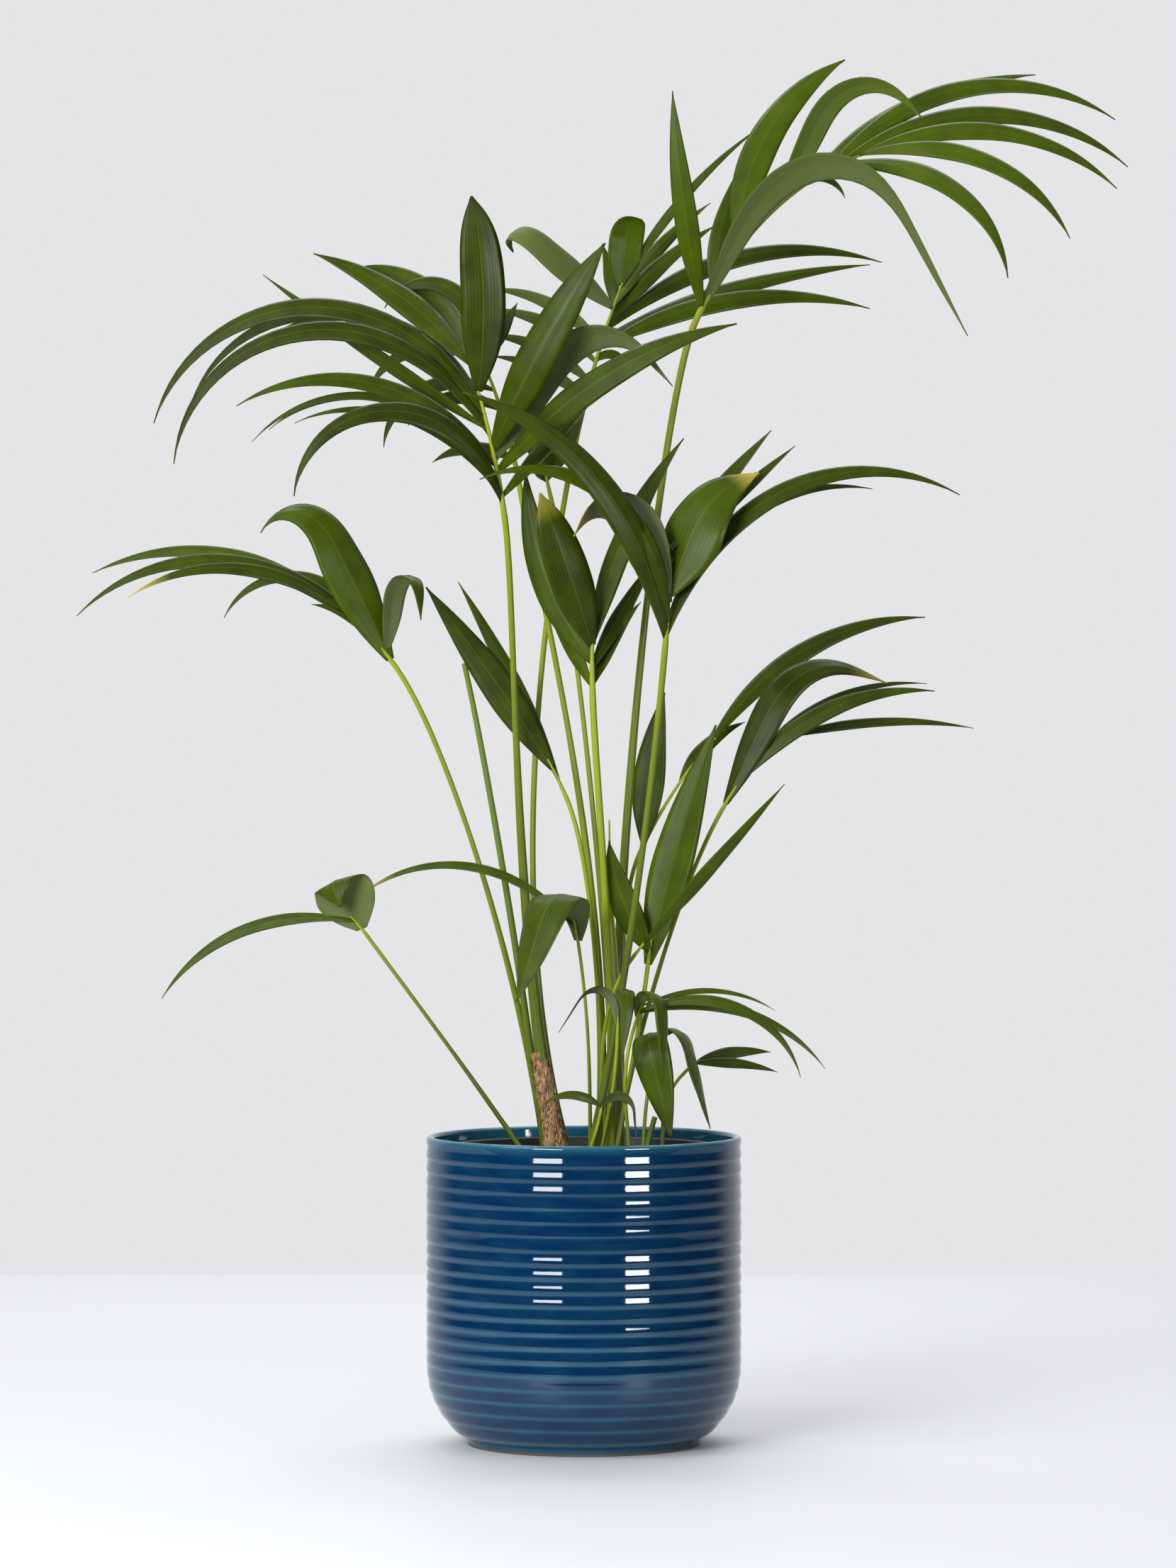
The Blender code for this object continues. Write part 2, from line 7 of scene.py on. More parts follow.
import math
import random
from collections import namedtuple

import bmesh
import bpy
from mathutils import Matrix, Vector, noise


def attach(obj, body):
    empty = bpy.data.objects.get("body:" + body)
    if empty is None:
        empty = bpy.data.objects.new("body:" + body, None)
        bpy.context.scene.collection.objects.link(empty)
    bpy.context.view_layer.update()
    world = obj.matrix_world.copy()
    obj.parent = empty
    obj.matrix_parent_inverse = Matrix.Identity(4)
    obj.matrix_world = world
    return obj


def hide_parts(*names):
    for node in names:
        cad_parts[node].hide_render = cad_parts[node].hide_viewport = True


bl_info = {
    "name": "Potted Kentia Palm",
    "version": (1, 0, 0),
    "blender": (4, 5, 0),
    "location": "3D View > Sidebar > Palm",
    "description": "Models a kentia palm in a ribbed, glazed pot, with its studio stage",
    "category": "Add Mesh",
}

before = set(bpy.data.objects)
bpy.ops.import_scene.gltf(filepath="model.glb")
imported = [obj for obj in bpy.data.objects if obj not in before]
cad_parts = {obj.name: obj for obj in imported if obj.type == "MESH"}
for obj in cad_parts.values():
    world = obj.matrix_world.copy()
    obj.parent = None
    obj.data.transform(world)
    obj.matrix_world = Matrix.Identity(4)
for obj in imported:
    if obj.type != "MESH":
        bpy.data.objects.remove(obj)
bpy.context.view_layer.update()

MM = 0.001
GAP = 0.3
BODY = "root"

POT_HEIGHT = 243.0
POT_RADIUS = 124.4
POT_FOOT_RADIUS = 92.0
POT_FOOT_HEIGHT = 7.0
POT_SHOULDER = 70.0
POT_WALL = 6.0
POT_FLOOR = 12.0
POT_LIP = 6.0
RIB_COUNT = 21
RIB_STEPS = 12
RIB_TOP = 12.4
GROOVE_ROUNDING = 0.06
RIB_CREST = 1.9
# How narrow the teal line above each groove is: the line is partly thin glaze and partly a painted reflection of
# the floor on the rib's down-facing underside.
GROOVE_LINE_SHARPNESS = 5.0
# How far each rib stands out, from the top one down: a hand-turned pot is uneven.
RIB_STRENGTHS = (1.0, 1.0, 1.0, 0.6, 0.58, 0.6, 0.33, 0.95, 1.0, 0.95, 1.0, 0.6, 0.75, 0.45, 0.45, 0.5)
POT_TURNS = 144
BARE_FOOT = 2.2

GROW_RIM = 235.0
GROW_TOP_RADIUS = 106.0
GROW_FOOT_RADIUS = 84.0
GROW_WALL = 1.6
GROW_LIP = 4.0
GROW_TURNS = 96
SOIL_TOP = 213.0
SOIL_RELIEF = 3.0
SOIL_CELLS = 96
SOIL_CRUMBS = 520

TRUNK_FOOT = (-20.0, 5.0)
TRUNK_TOP = (-33.5, 5.0, 300.0)
TRUNK_FLARE = 26.0
TRUNK_WAIST = 18.5
TRUNK_TIP = 15.0
TRUNK_LEANS = (-5.0, -9.0)
TRUNK_FLARE_SHARE = 0.45
TRUNK_CLEARANCE = 2.6
TRUNK_SIDES = 36
TRUNK_SECTIONS = 90
TRUNK_ROOTS = 34
TRUNK_COLLAR = 9.0

STALK_HANDLE = 0.4
STALK_TIP_HANDLE = 60.0
STALK_SIDES = 12
STALK_PITCH = 7.0
RIB_SECTIONS = 5
RIB_START = 0.95
RIB_END = 1.6
SHEATH_SHARE = 0.55
SHEATH_EASE = 0.7
BLADE_FOLD = 0.14
BLADE_ROOT = 0.18
BLADE_WIDEST = 0.4
BLADE_TIP = 0.05
BLADE_TAPER = 1.7
BLADE_ALONG = 30
BLADE_ACROSS = 8
BEND_EASE = 1.2
KNEE_SPAN = 0.6
SHARP_EDGE = 62.0

# The photograph is 1659 by 2212 pixels. Its camera sees the pot's axis 0.559 mm to a pixel.
PHOTO_HEIGHT = 2212
FOCAL_PIXELS = 8694
CAMERA_PLACE = (0.0032, -4.860, 0.572)
CAMERA_PITCH = -0.607
SENSOR = 36.0
FLOOR_BACK = 1.473
FLOOR_FRONT = -0.75

# Brightness of the room as it lights the palm: the dark front, the backdrop and the ceiling.
FRONT_LIGHT = 0.04
BACK_LIGHT = 1.0
TOP_LIGHT = 0.78

Leaflet = namedtuple("Leaflet", "at lean reach bend depth width turn taper", defaults=(28, BLADE_TAPER))
Nod = namedtuple("Nod", "at lean heading length bend knee width turn taper", defaults=(0, BLADE_TAPER))
Frond = namedtuple("Frond", "name foot base stalk rib leaflets")
FRONDS = (
    Frond("top_right", (23, 31), (88, 30, 886), (10.0, 5.6, 0), (45, 193, 45, 20), (
        Leaflet(0.06, -8, 171, 9, -35, 19, 10),
        Leaflet(0.15, 14, 110, 17, 70, 17, 10),
        Leaflet(0.35, 29, 178, 63, 60, 30, taper=2.2),
        Nod(0.57, 26, 70, 186, 114, 0.66, 21, -50),
        Leaflet(0.73, 63, 211, 45, 90, 19),
        Leaflet(0.84, 79, 236, 84, 60, 18),
        Leaflet(0.87, 90, 232, 77, 10, 18),
        Leaflet(0.97, 98, 205, 68, -20, 17),
        Leaflet(0.98, 114, 176, 74, -60, 17),
        Leaflet(0.88, 127, 160, 85, -90, 18),
        Nod(0.05, 26, 60, 369, 125, 0.43, 27, -35),
        Leaflet(0.62, 81, 51, 150, 80, 11))),
    Frond("upper_left", (-33, 3), (-62, -60, 731), (11.0, 5.0, -8), (-13, 126, -10, -10), (
        Leaflet(0.77, -2, 150, -20, -20, 35, 8, taper=4),
        Leaflet(0.40, 29, 180, 11, -40, 31, 12, taper=2.4),
        Nod(0.34, 31, 60, 215, 109, 0.60, 30, -30),
        Leaflet(0.26, 59, 216, 37, -60, 26),
        Leaflet(0.10, 41, 138, 4, 30, 15),
        Leaflet(0.94, -54, 154, -35, 60, 24),
        Leaflet(0.97, -49, 119, -80, 90, 20, taper=2.5),
        Leaflet(0.98, -57, 80, -175, 70, 17),
        Leaflet(0.62, -91, 260, -133, 45, 19),
        Leaflet(0.55, -85, 236, -135, 75, 15),
        Leaflet(0.49, -95, 247, -145, 15, 18),
        Leaflet(0.53, -55, 217, 4, 60, 13),
        Leaflet(0.29, -77, 206, -84, -20, 16),
        Leaflet(0.66, -70, 180, -95, 90, 14),
        Leaflet(0.07, -89, 159, -157, -60, 19),
        Leaflet(0.15, -79, 197, -110, 10, 9),
        Leaflet(0.20, -77, 185, -100, 30, 9),
        Leaflet(0.11, -71, 168, -82, -40, 9))),
    Frond("upper_back", (-8, 32), (-2, 84, 815), (5.6, 4.6, -17), (17, 113, 8, 20), (
        Leaflet(0.95, 41, 174, 25, 10, 9),
        Nod(0.97, 6, 25, 70, 105, 0.74, 28, -14, taper=3.5),
        Nod(0.80, -49, -152, 131, 179, 0.85, 24, taper=2.5),
        Leaflet(0.81, -10, 54, -20, 30, 13),
        Leaflet(0.52, -62, 102, -53, 50, 13),
        Leaflet(0.39, -63, 96, -52, 30, 13),
        Leaflet(0.24, -65, 90, -45, 10, 13),
        Leaflet(0.12, -66, 81, -39, -10, 12),
        Leaflet(0.81, 42, 119, 25, 60, 14),
        Leaflet(0.68, 47, 121, 26, 40, 16),
        Leaflet(0.63, 75, 234, 61, 80, 18),
        Leaflet(0.57, 73, 230, 24, 110, 16),
        Leaflet(0.50, 81, 222, 47, 50, 18),
        Leaflet(0.39, 110, 23, 175, 5, 9))),
    Frond("right_front", (1, -34), (63, -70, 626), (7.5, 5.2, 13), (2, 82, -6, -5), (
        Leaflet(0.10, -40, 244, -65, -70, 26),
        Leaflet(0.20, -52, 183, -114, -55, 17),
        Nod(0.43, -20, -60, 140, 129, 0.66, 38, 40),
        Nod(0.51, 22, 125, 128, 51, 0.65, 50, 30),
        Leaflet(0.10, 64, 255, 102, 20, 17),
        Leaflet(0.20, 56, 196, 82, 60, 13),
        Leaflet(0.91, 40, 126, 8, 40, 15),
        Leaflet(0.81, 47, 137, 8, 60, 13))),
    Frond("centre_front", (21, -14), (7, -30, 587), (8.0, 5.6, 2), (0, 69, 4, 0), (
        Leaflet(0.61, -19, 125, -5, -30, 34, 12, taper=3),
        Leaflet(0.42, -19, 159, 33, 5, 28, 12),
        Leaflet(0.14, -24, 104, 10, 20, 15),
        Leaflet(0.61, 24, 178, 28, 15, 21),
        Leaflet(0.34, 30, 100, 10, 30, 15),
        Leaflet(0.14, 30, 77, 28, 20, 13))),
    Frond("left", (-29, 28), (-151, 10, 616), (6.5, 4.2, -7), (-47, 96, -20, 0), (
        Nod(0.03, -26, -118, 183, 134, 0.81, 40, -34),
        Leaflet(0.09, -83, 245, -98, -5, 15),
        Leaflet(0.69, -83, 197, -62, 60, 13),
        Leaflet(0.54, -86, 170, -73, -50, 12),
        Leaflet(0.29, -83, 118, -132, 40, 12),
        Leaflet(0.17, -59, 66, -52, 60, 10),
        Nod(0.08, 7, 34, 119, 163, 0.60, 20))),
    Frond("left_inner", (19, 12), (-14, -5, 510), (6.0, 3.8, -3), (-26, 34, -6, 4), (
        Leaflet(0.72, -35, 175, -5, 10, 27, 10),
        Leaflet(0.45, -27, 175, -8, 18, 16))),
    Frond("right_low", (22, 52), (110, 20, 501), (5.0, 3.6, 10), (40, 80, 22, 0), (
        Nod(0.05, 25, 120, 203, 88, 0.62, 28, 35),
        Leaflet(0.30, 65, 170, 57, -10, 16),
        Leaflet(0.87, 87, 157, 26, 30, 9),
        Leaflet(0.38, 64, 166, 59, 80, 9))),
    Frond("right_inner", (26, 42), (46, 45, 469), (4.6, 3.6, 6), (34, 106, 16, 20), (
        Leaflet(0.03, 8, 122, 12, 15, 26, 12),
        Leaflet(0.57, 48, 71, 44, 30, 13),
        Leaflet(0.95, 60, 201, 56, 60, 18))),
    Frond("low_pair", (23, -30), (50, -15, 376), (5.0, 3.8, 8), (8, 23, 2, 0), (
        Leaflet(0.55, -20, 93, 28, -1, 23, 8),
        Leaflet(0.10, 16, 196, 8, 20, 33, 8))),
    Frond("low_single", (9, -22), (39, -34, 386), (4.0, 3.2, 9), (39, 18, 4, 0), (
        Leaflet(0.70, 41, 166, 0, -30, 12),)),
    Frond("low_left", (-35, -25), (-169, -60, 403), (5.0, 3.2, -34), (-40, 20, -8, 0), (
        Leaflet(0.70, -112, 164, -68, 20, 11),
        Nod(0.30, -24, -18, 74, 178, 0.65, 50))),
    Frond("low_centre", (5, -12), (-4, -50, 394), (3.8, 2.8, 0), (-10, 22, -4, 0), (
        Nod(0.20, 3, -34, 153, 156, 0.29, 42),
        Leaflet(0.60, -83, 175, -92, 20, 8))),
    Frond("young_left", (10, -56), (26, -58, 322), (4.0, 3.0, 9), (2, 18, 0, 0), (
        Nod(0.40, -7, -60, 90, 137, 0.41, 10, 30),
        Nod(0.60, 8, 10, 99, 170, 0.36, 12))),
    Frond("young_right", (36, -62), (40, -70, 335), (4.0, 3.0, 0), (20, 16, 4, 0), (
        Nod(0.30, 0, 40, 101, 178, 0.27, 18, -15),
        Leaflet(0.60, 112, 134, 98, -20, 10),
        Leaflet(0.50, 107, 152, 68, 25, 9),
        Leaflet(0.85, 92, 104, 58, 5, 5))),
    Frond("foot_front", (-1, -74), (13, -76, 266), (3.6, 2.8, 7), (9, 6, 0, 0), (
        Leaflet(0.66, -86, 44, -80, -10, 8),
        Nod(0.84, 49, 60, 63, 124, 0.33, 14, -20))),
    Frond("foot_right", (46, -26), (54, -20, 298), (4.0, 3.0, 2), (14, 20, 4, 0), (
        Nod(0.70, -14, -9, 115, 178, 0.20, 30),
        Nod(0.90, -12, 51, 110, 178, 0.17, 26, -20))),
    Frond("foot_back_right", (60, 2), (81, 20, 293), (4.0, 3.0, 8), (50, 14, 6, 0), (
        Leaflet(0.80, 84, 59, 25, 15, 11),
        Leaflet(0.60, 96, 66, 25, -4, 9))),
    Frond("mid_back", (25, 20), (-26, 30, 746), (6.0, 4.0, -1), (-12, 29, 2, 0), (
        Leaflet(0.86, -18, 61, 25, 15, 15),
        Leaflet(0.90, -4, 63, -7, 35, 15),
        Leaflet(0.74, 15, 67, -19, 30, 15),
        Leaflet(0.50, 29, 62, 4, 20, 13),
        Leaflet(0.45, -39, 25, -24, 5, 11))),
    Frond("back_left", (11, 18), (-50, 42, 750), (9.0, 4.8, 5), (-18, 141, -18, 5), (
        Leaflet(0.78, -103, 94, -103, 40, 15),
        Leaflet(0.60, -116, 99, -113, 30, 14),
        Leaflet(0.94, -50, 75, -4, 12, 17),
        Leaflet(0.98, 4, 90, 2, 22, 17),
        Leaflet(0.78, 30, 55, 4, 20, 15),
        Leaflet(0.48, -98, 75, -97, 20, 13),
        Leaflet(0.37, 31, 77, 8, 20, 14),
        Leaflet(0.20, -92, 65, -68, 10, 13))),
)
CutStalk = namedtuple("CutStalk", "name foot tip lean widths")
CUT_STALKS = (
    CutStalk("cut_stalk", (-41, 10), (-95, 25, 616), (-8, -13), (5.8, 4.4)),
    CutStalk("cut_stub", (46, -8), (56, -2, 258), (6, 16), (5.0, 4.4)),
    CutStalk("sheath", (25, 0), (18, -3, 428), (0, -6), (15.0, 9.0)),
    CutStalk("spear", (28, 12), (20, 4, 492), (-1, 0), (5.0, 1.6)),
)
ON_TRUNK = ("upper_left", "cut_stalk")
FRESH = ("sheath", "spear")

# Share of yellow at the tips of leaflets that are drying, by frond and place in its list.
DRY_TIPS = {("right_front", 2): 1.0, ("right_front", 3): 1.0, ("low_centre", 1): 0.9,
            ("left", 3): 0.9, ("right_low", 0): 0.7, ("centre_front", 0): 0.5}
DRY_FROM = 0.82

# Leaflets that turn their paler under faces to the viewer, by frond and place in its list.
SHOWN_UNDER = {"upper_back": (1, 2, 4, 5, 6, 7)}

# Lightness of a frond's green, from 0 for dark to 1 for bright. The top right frond's lightness is painted light
# shining through its leaflets from behind.
TONES = {"top_right": 0.62, "upper_back": 0.5, "low_pair": 0.62, "left": 0.3, "low_left": 0.35,
         "upper_left": 0.22, "young_right": 0.45, "foot_right": 0.4}
COMMON_TONE = 0.28

# How much browner and darker a stalk is than its fellows, as a share of the way down to its foot.
STALK_AGES = {"right_front": 0.35, "low_left": 0.4, "left": 0.1, "right_low": 0.25, "upper_left": 0.2,
              "top_right": 0.15, "centre_front": -0.15}


def linear(code):
    """Turn an sRGB hex colour to the linear colour that shaders read."""
    parts = (int(code[i:i + 2], 16) / 255.0 for i in (1, 3, 5))
    return tuple(p / 12.92 if p <= 0.04045 else ((p + 0.055) / 1.055) ** 2.4 for p in parts)


def colour_property(name, description, code):
    """Declare a colour that the user can change."""
    return bpy.props.FloatVectorProperty(name=name, description=description, subtype="COLOR",
                                         size=3, min=0.0, max=1.0, default=linear(code))


class PotLook(bpy.types.PropertyGroup):
    """Sizes and colours of the pot, its liner and the soil."""
    rib_pitch: bpy.props.FloatProperty(name="Rib pitch", description="Height of one turned rib",
                                       default=0.0108, unit="LENGTH")
    rib_depth: bpy.props.FloatProperty(name="Rib depth", description="Depth of the grooves between ribs",
                                       default=0.0008, unit="LENGTH")
    deep: colour_property("Deep glaze", "Glaze where it pools on the ribs", "#00284c")
    # The thin glaze colour also paints the floor's reflection in the grooves.
    thin: colour_property("Thin glaze", "Glaze where it thins at the grooves and the lip", "#2f6c7e")
    clay: colour_property("Bare clay", "Unglazed ring under the foot", "#4a3a30")
    liner: colour_property("Liner", "Black nursery pot inside", "#0b0b0c")
    soil: colour_property("Soil", "Peat and bark mix", "#18100a")


class PlantLook(bpy.types.PropertyGroup):
    """Sizes and colours of the leaflets, stalks and trunk."""
    blade_thickness: bpy.props.FloatProperty(name="Leaf thickness", description="Thickness of a leaflet",
                                             default=0.0005, unit="LENGTH")
    upper_dark: colour_property("Upper face, dark", "Older tissue of the upper face", "#253000")
    # The light upper colour also paints light shining through the backlit top right frond.
    upper_light: colour_property("Upper face, light", "Younger tissue of the upper face", "#526a00")
    under: colour_property("Under face", "Paler under face", "#69704f")
    vein: colour_property("Midrib", "Midrib and main veins", "#747f20")
    dry: colour_property("Dry tip", "Drying tip of a leaflet", "#c8b84a")
    stalk: colour_property("Stalk", "Green rind of a stalk", "#94a30f")
    stalk_foot: colour_property("Stalk foot", "Rind near the soil", "#536406")
    old_stalk: colour_property("Old stalk", "Drying stalk", "#6c8230")
    fibre: colour_property("Fibre", "Matted fibre of the trunk", "#bd9468")
    # Painted shade in the gaps between the fibre strands.
    fibre_gap_shade: colour_property("Fibre shadow", "Gaps between the fibres", "#3a2615")


class StageLook(bpy.types.PropertyGroup):
    """Floor, backdrop and lights."""
    floor: colour_property("Floor", "Pale matt floor", "#dadce0")
    wall: colour_property("Backdrop", "Pale backdrop", "#e5e5e7")
    key_power: bpy.props.FloatProperty(name="Key light", description="Power of the large soft light",
                                       default=30.0, unit="POWER")
    strip_power: bpy.props.FloatProperty(name="Strip lights", description="Power of each tall softbox",
                                         default=52.0, unit="POWER")
    back_power: bpy.props.FloatProperty(name="Back light", description="Power of the light over the floor's back",
                                        default=32.0, unit="POWER")


def add_node(tree, kind, settings=None, links=None):
    """Add a shader node, set its properties, and set or link its sockets."""
    made = tree.nodes.new(kind)
    for name, value in (settings or {}).items():
        setattr(made, name, value)
    for socket, value in (links or {}).items():
        if isinstance(value, bpy.types.NodeSocket):
            tree.links.new(value, made.inputs[socket])
        else:
            made.inputs[socket].default_value = value
    return made


def new_material(name):
    """Make an empty Principled material and return it with its tree and shader."""
    made = bpy.data.materials.new(name)
    made.use_nodes = True
    return made, made.node_tree, made.node_tree.nodes["Principled BSDF"]


def solid(colour):
    """A colour with full alpha."""
    return (*colour, 1.0)


def leaf_material(name, look, upper):
    """Kentia leaf blade: waxy and dark above, matt and paler below, with fine parallel veins."""
    made, tree, shader = new_material(name)
    place = add_node(tree, "ShaderNodeTexCoord")
    across = add_node(tree, "ShaderNodeSeparateXYZ", links={"Vector": place.outputs["UV"]})
    # The tone attribute also carries painted light shining through the top right frond.
    tone = add_node(tree, "ShaderNodeAttribute", {"attribute_name": "tone"})
    age = add_node(tree, "ShaderNodeAttribute", {"attribute_name": "age"})
    # Patches of lighter tissue about 18 mm across.
    patch = add_node(tree, "ShaderNodeTexNoise",
                     links={"Vector": place.outputs["Object"], "Scale": 55.0, "Detail": 3.0})
    mixed = add_node(tree, "ShaderNodeMath", {"operation": "MULTIPLY_ADD"},
                     {0: patch.outputs["Fac"], 1: 0.7, 2: tone.outputs["Fac"]})
    share = add_node(tree, "ShaderNodeMapRange",
                     links={"Value": mixed.outputs[0], "From Min": 0.35, "From Max": 1.35})
    first, second = (look.upper_dark, look.upper_light) if upper else (look.under, look.upper_light)
    base = add_node(tree, "ShaderNodeMixRGB", links={"Fac": share.outputs[0], "Color1": solid(first),
                                                     "Color2": solid(second)})
    # Veins every 1.6 mm on a blade 22 mm wide, which is fourteen to the blade.
    turn = add_node(tree, "ShaderNodeMath", {"operation": "MULTIPLY"},
                    {0: across.outputs["X"], 1: 14.0 * math.tau})
    vein = add_node(tree, "ShaderNodeMath", {"operation": "SINE"}, {0: turn.outputs[0]})
    fine = add_node(tree, "ShaderNodeMapRange",
                    links={"Value": vein.outputs[0], "From Min": 0.2, "From Max": 1.0, "To Max": 0.12})
    veined = add_node(tree, "ShaderNodeMixRGB", links={"Fac": fine.outputs[0], "Color1": base.outputs[0],
                                                       "Color2": solid(look.vein)})
    # The midrib is a pale line about 1 mm wide along the middle.
    middle = add_node(tree, "ShaderNodeMath", {"operation": "SUBTRACT"}, {0: across.outputs["X"], 1: 0.5})
    off = add_node(tree, "ShaderNodeMath", {"operation": "ABSOLUTE"}, {0: middle.outputs[0]})
    line = add_node(tree, "ShaderNodeMapRange", links={"Value": off.outputs[0], "From Min": 0.0,
                                                       "From Max": 0.035, "To Min": 0.28, "To Max": 0.0})
    ribbed = add_node(tree, "ShaderNodeMixRGB", links={"Fac": line.outputs[0], "Color1": veined.outputs[0],
                                                       "Color2": solid(look.vein)})
    dried = add_node(tree, "ShaderNodeMixRGB", links={"Fac": age.outputs["Fac"], "Color1": ribbed.outputs[0],
                                                      "Color2": solid(look.dry)})
    tree.links.new(dried.outputs[0], shader.inputs["Base Color"])
    bump = add_node(tree, "ShaderNodeBump", links={"Height": vein.outputs[0], "Strength": 0.15,
                                                   "Distance": 0.0001})
    tree.links.new(bump.outputs[0], shader.inputs["Normal"])
    shader.inputs["Roughness"].default_value = 0.36 if upper else 0.6
    shader.inputs["IOR"].default_value = 1.38
    shader.inputs["Specular IOR Level"].default_value = 0.2
    return made


def stalk_material(name, top, foot, roughness=0.42):
    """Petiole rind: smooth, lengthwise grooved and slightly waxy, darker and browner at the foot."""
    made, tree, shader = new_material(name)
    place = add_node(tree, "ShaderNodeTexCoord")
    along = add_node(tree, "ShaderNodeAttribute", {"attribute_name": "along"})
    # Streaks drawn out along the stalk, 2 mm across and about 40 mm long.
    stretch = add_node(tree, "ShaderNodeMapping", links={"Vector": place.outputs["Object"],
                                                         "Scale": (1.0, 1.0, 0.05)})
    streak = add_node(tree, "ShaderNodeTexNoise",
                      links={"Vector": stretch.outputs[0], "Scale": 450.0, "Detail": 2.0})
    mixed = add_node(tree, "ShaderNodeMath", {"operation": "MULTIPLY_ADD"},
                     {0: streak.outputs["Fac"], 1: 0.25, 2: along.outputs["Fac"]})
    share = add_node(tree, "ShaderNodeMapRange",
                     links={"Value": mixed.outputs[0], "From Min": 0.1, "From Max": 1.0})
    base = add_node(tree, "ShaderNodeMixRGB", links={"Fac": share.outputs[0], "Color1": solid(foot),
                                                     "Color2": solid(top)})
    tree.links.new(base.outputs[0], shader.inputs["Base Color"])
    bump = add_node(tree, "ShaderNodeBump", links={"Height": streak.outputs["Fac"], "Strength": 0.15,
                                                   "Distance": 0.0002})
    tree.links.new(bump.outputs[0], shader.inputs["Normal"])
    shader.inputs["Roughness"].default_value = roughness
    shader.inputs["Specular IOR Level"].default_value = 0.25
    return made


def fibre_material(look):
    """Matted leaf-base fibre: dry, coarse strands with painted shade in the gaps between them."""
    made, tree, shader = new_material("matted leaf-base fibre")
    place = add_node(tree, "ShaderNodeTexCoord")
    # Strands about 0.8 mm thick that wander down the trunk.
    stretch = add_node(tree, "ShaderNodeMapping", links={"Vector": place.outputs["Object"],
                                                         "Rotation": (0.35, 0.2, 0.0),
                                                         "Scale": (1.0, 1.0, 0.35)})
    strand = add_node(tree, "ShaderNodeTexNoise", links={"Vector": stretch.outputs[0], "Scale": 420.0,
                                                         "Detail": 5.0, "Distortion": 1.6})
    # The dark colour between the strands is painted shade in the gaps.
    share = add_node(tree, "ShaderNodeMapRange",
                     links={"Value": strand.outputs["Fac"], "From Min": 0.36, "From Max": 0.6})
    base = add_node(tree, "ShaderNodeMixRGB", links={"Fac": share.outputs[0],
                                                     "Color1": solid(look.fibre_gap_shade),
                                                     "Color2": solid(look.fibre)})
    tree.links.new(base.outputs[0], shader.inputs["Base Color"])
    bump = add_node(tree, "ShaderNodeBump", links={"Height": strand.outputs["Fac"], "Strength": 0.9,
                                                   "Distance": 0.0012})
    tree.links.new(bump.outputs[0], shader.inputs["Normal"])
    shader.inputs["Roughness"].default_value = 0.9
    return made


def glaze_material(look):
    """Fired cobalt glaze: glassy, navy where it pools and teal where it thins on the ribs; the teal groove lines
    are also a painted reflection of the floor.
    """
    made, tree, shader = new_material("cobalt glaze on stoneware")
    place = add_node(tree, "ShaderNodeTexCoord")
    # This attribute holds thin glaze and, in the grooves, a painted reflection of the floor.
    thin = add_node(tree, "ShaderNodeAttribute", {"attribute_name": "thin"})
    # Clouds in the glaze about 30 mm wide, drawn out along the ribs.
    flat = add_node(tree, "ShaderNodeMapping", links={"Vector": place.outputs["Object"],
                                                      "Scale": (1.0, 1.0, 4.0)})
    cloud = add_node(tree, "ShaderNodeTexNoise",
                     links={"Vector": flat.outputs[0], "Scale": 26.0, "Detail": 4.0})
    mixed = add_node(tree, "ShaderNodeMath", {"operation": "MULTIPLY_ADD"},
                     {0: cloud.outputs["Fac"], 1: 0.4, 2: thin.outputs["Fac"]})
    share = add_node(tree, "ShaderNodeMapRange",
                     links={"Value": mixed.outputs[0], "From Min": 0.15, "From Max": 1.3})
    base = add_node(tree, "ShaderNodeMixRGB", links={"Fac": share.outputs[0], "Color1": solid(look.deep),
                                                     "Color2": solid(look.thin)})
    tree.links.new(base.outputs[0], shader.inputs["Base Color"])
    shader.inputs["Roughness"].default_value = 0.05
    shader.inputs["IOR"].default_value = 1.45
    return made


def clay_material(look):
    """Unglazed stoneware: dry, fine-grained fired clay."""
    made, tree, shader = new_material("unglazed stoneware foot")
    place = add_node(tree, "ShaderNodeTexCoord")
    # Grit of about 1 mm.
    grit = add_node(tree, "ShaderNodeTexNoise",
                    links={"Vector": place.outputs["Object"], "Scale": 900.0, "Detail": 2.0})
    base = add_node(tree, "ShaderNodeMixRGB", links={"Fac": grit.outputs["Fac"], "Color1": solid(look.clay),
                                                     "Color2": solid(linear("#7a6350"))})
    tree.links.new(base.outputs[0], shader.inputs["Base Color"])
    shader.inputs["Roughness"].default_value = 0.85
    return made


def liner_material(look):
    """Moulded polypropylene: black, slightly satin, with a faint mould grain."""
    made, tree, shader = new_material("moulded polypropylene liner")
    place = add_node(tree, "ShaderNodeTexCoord")
    # Mould grain of about 0.7 mm.
    grain = add_node(tree, "ShaderNodeTexNoise",
                     links={"Vector": place.outputs["Object"], "Scale": 1400.0, "Detail": 2.0})
    bump = add_node(tree, "ShaderNodeBump", links={"Height": grain.outputs["Fac"], "Strength": 0.2,
                                                   "Distance": 0.0002})
    tree.links.new(bump.outputs[0], shader.inputs["Normal"])
    shader.inputs["Base Color"].default_value = solid(look.liner)
    shader.inputs["Roughness"].default_value = 0.45
    return made


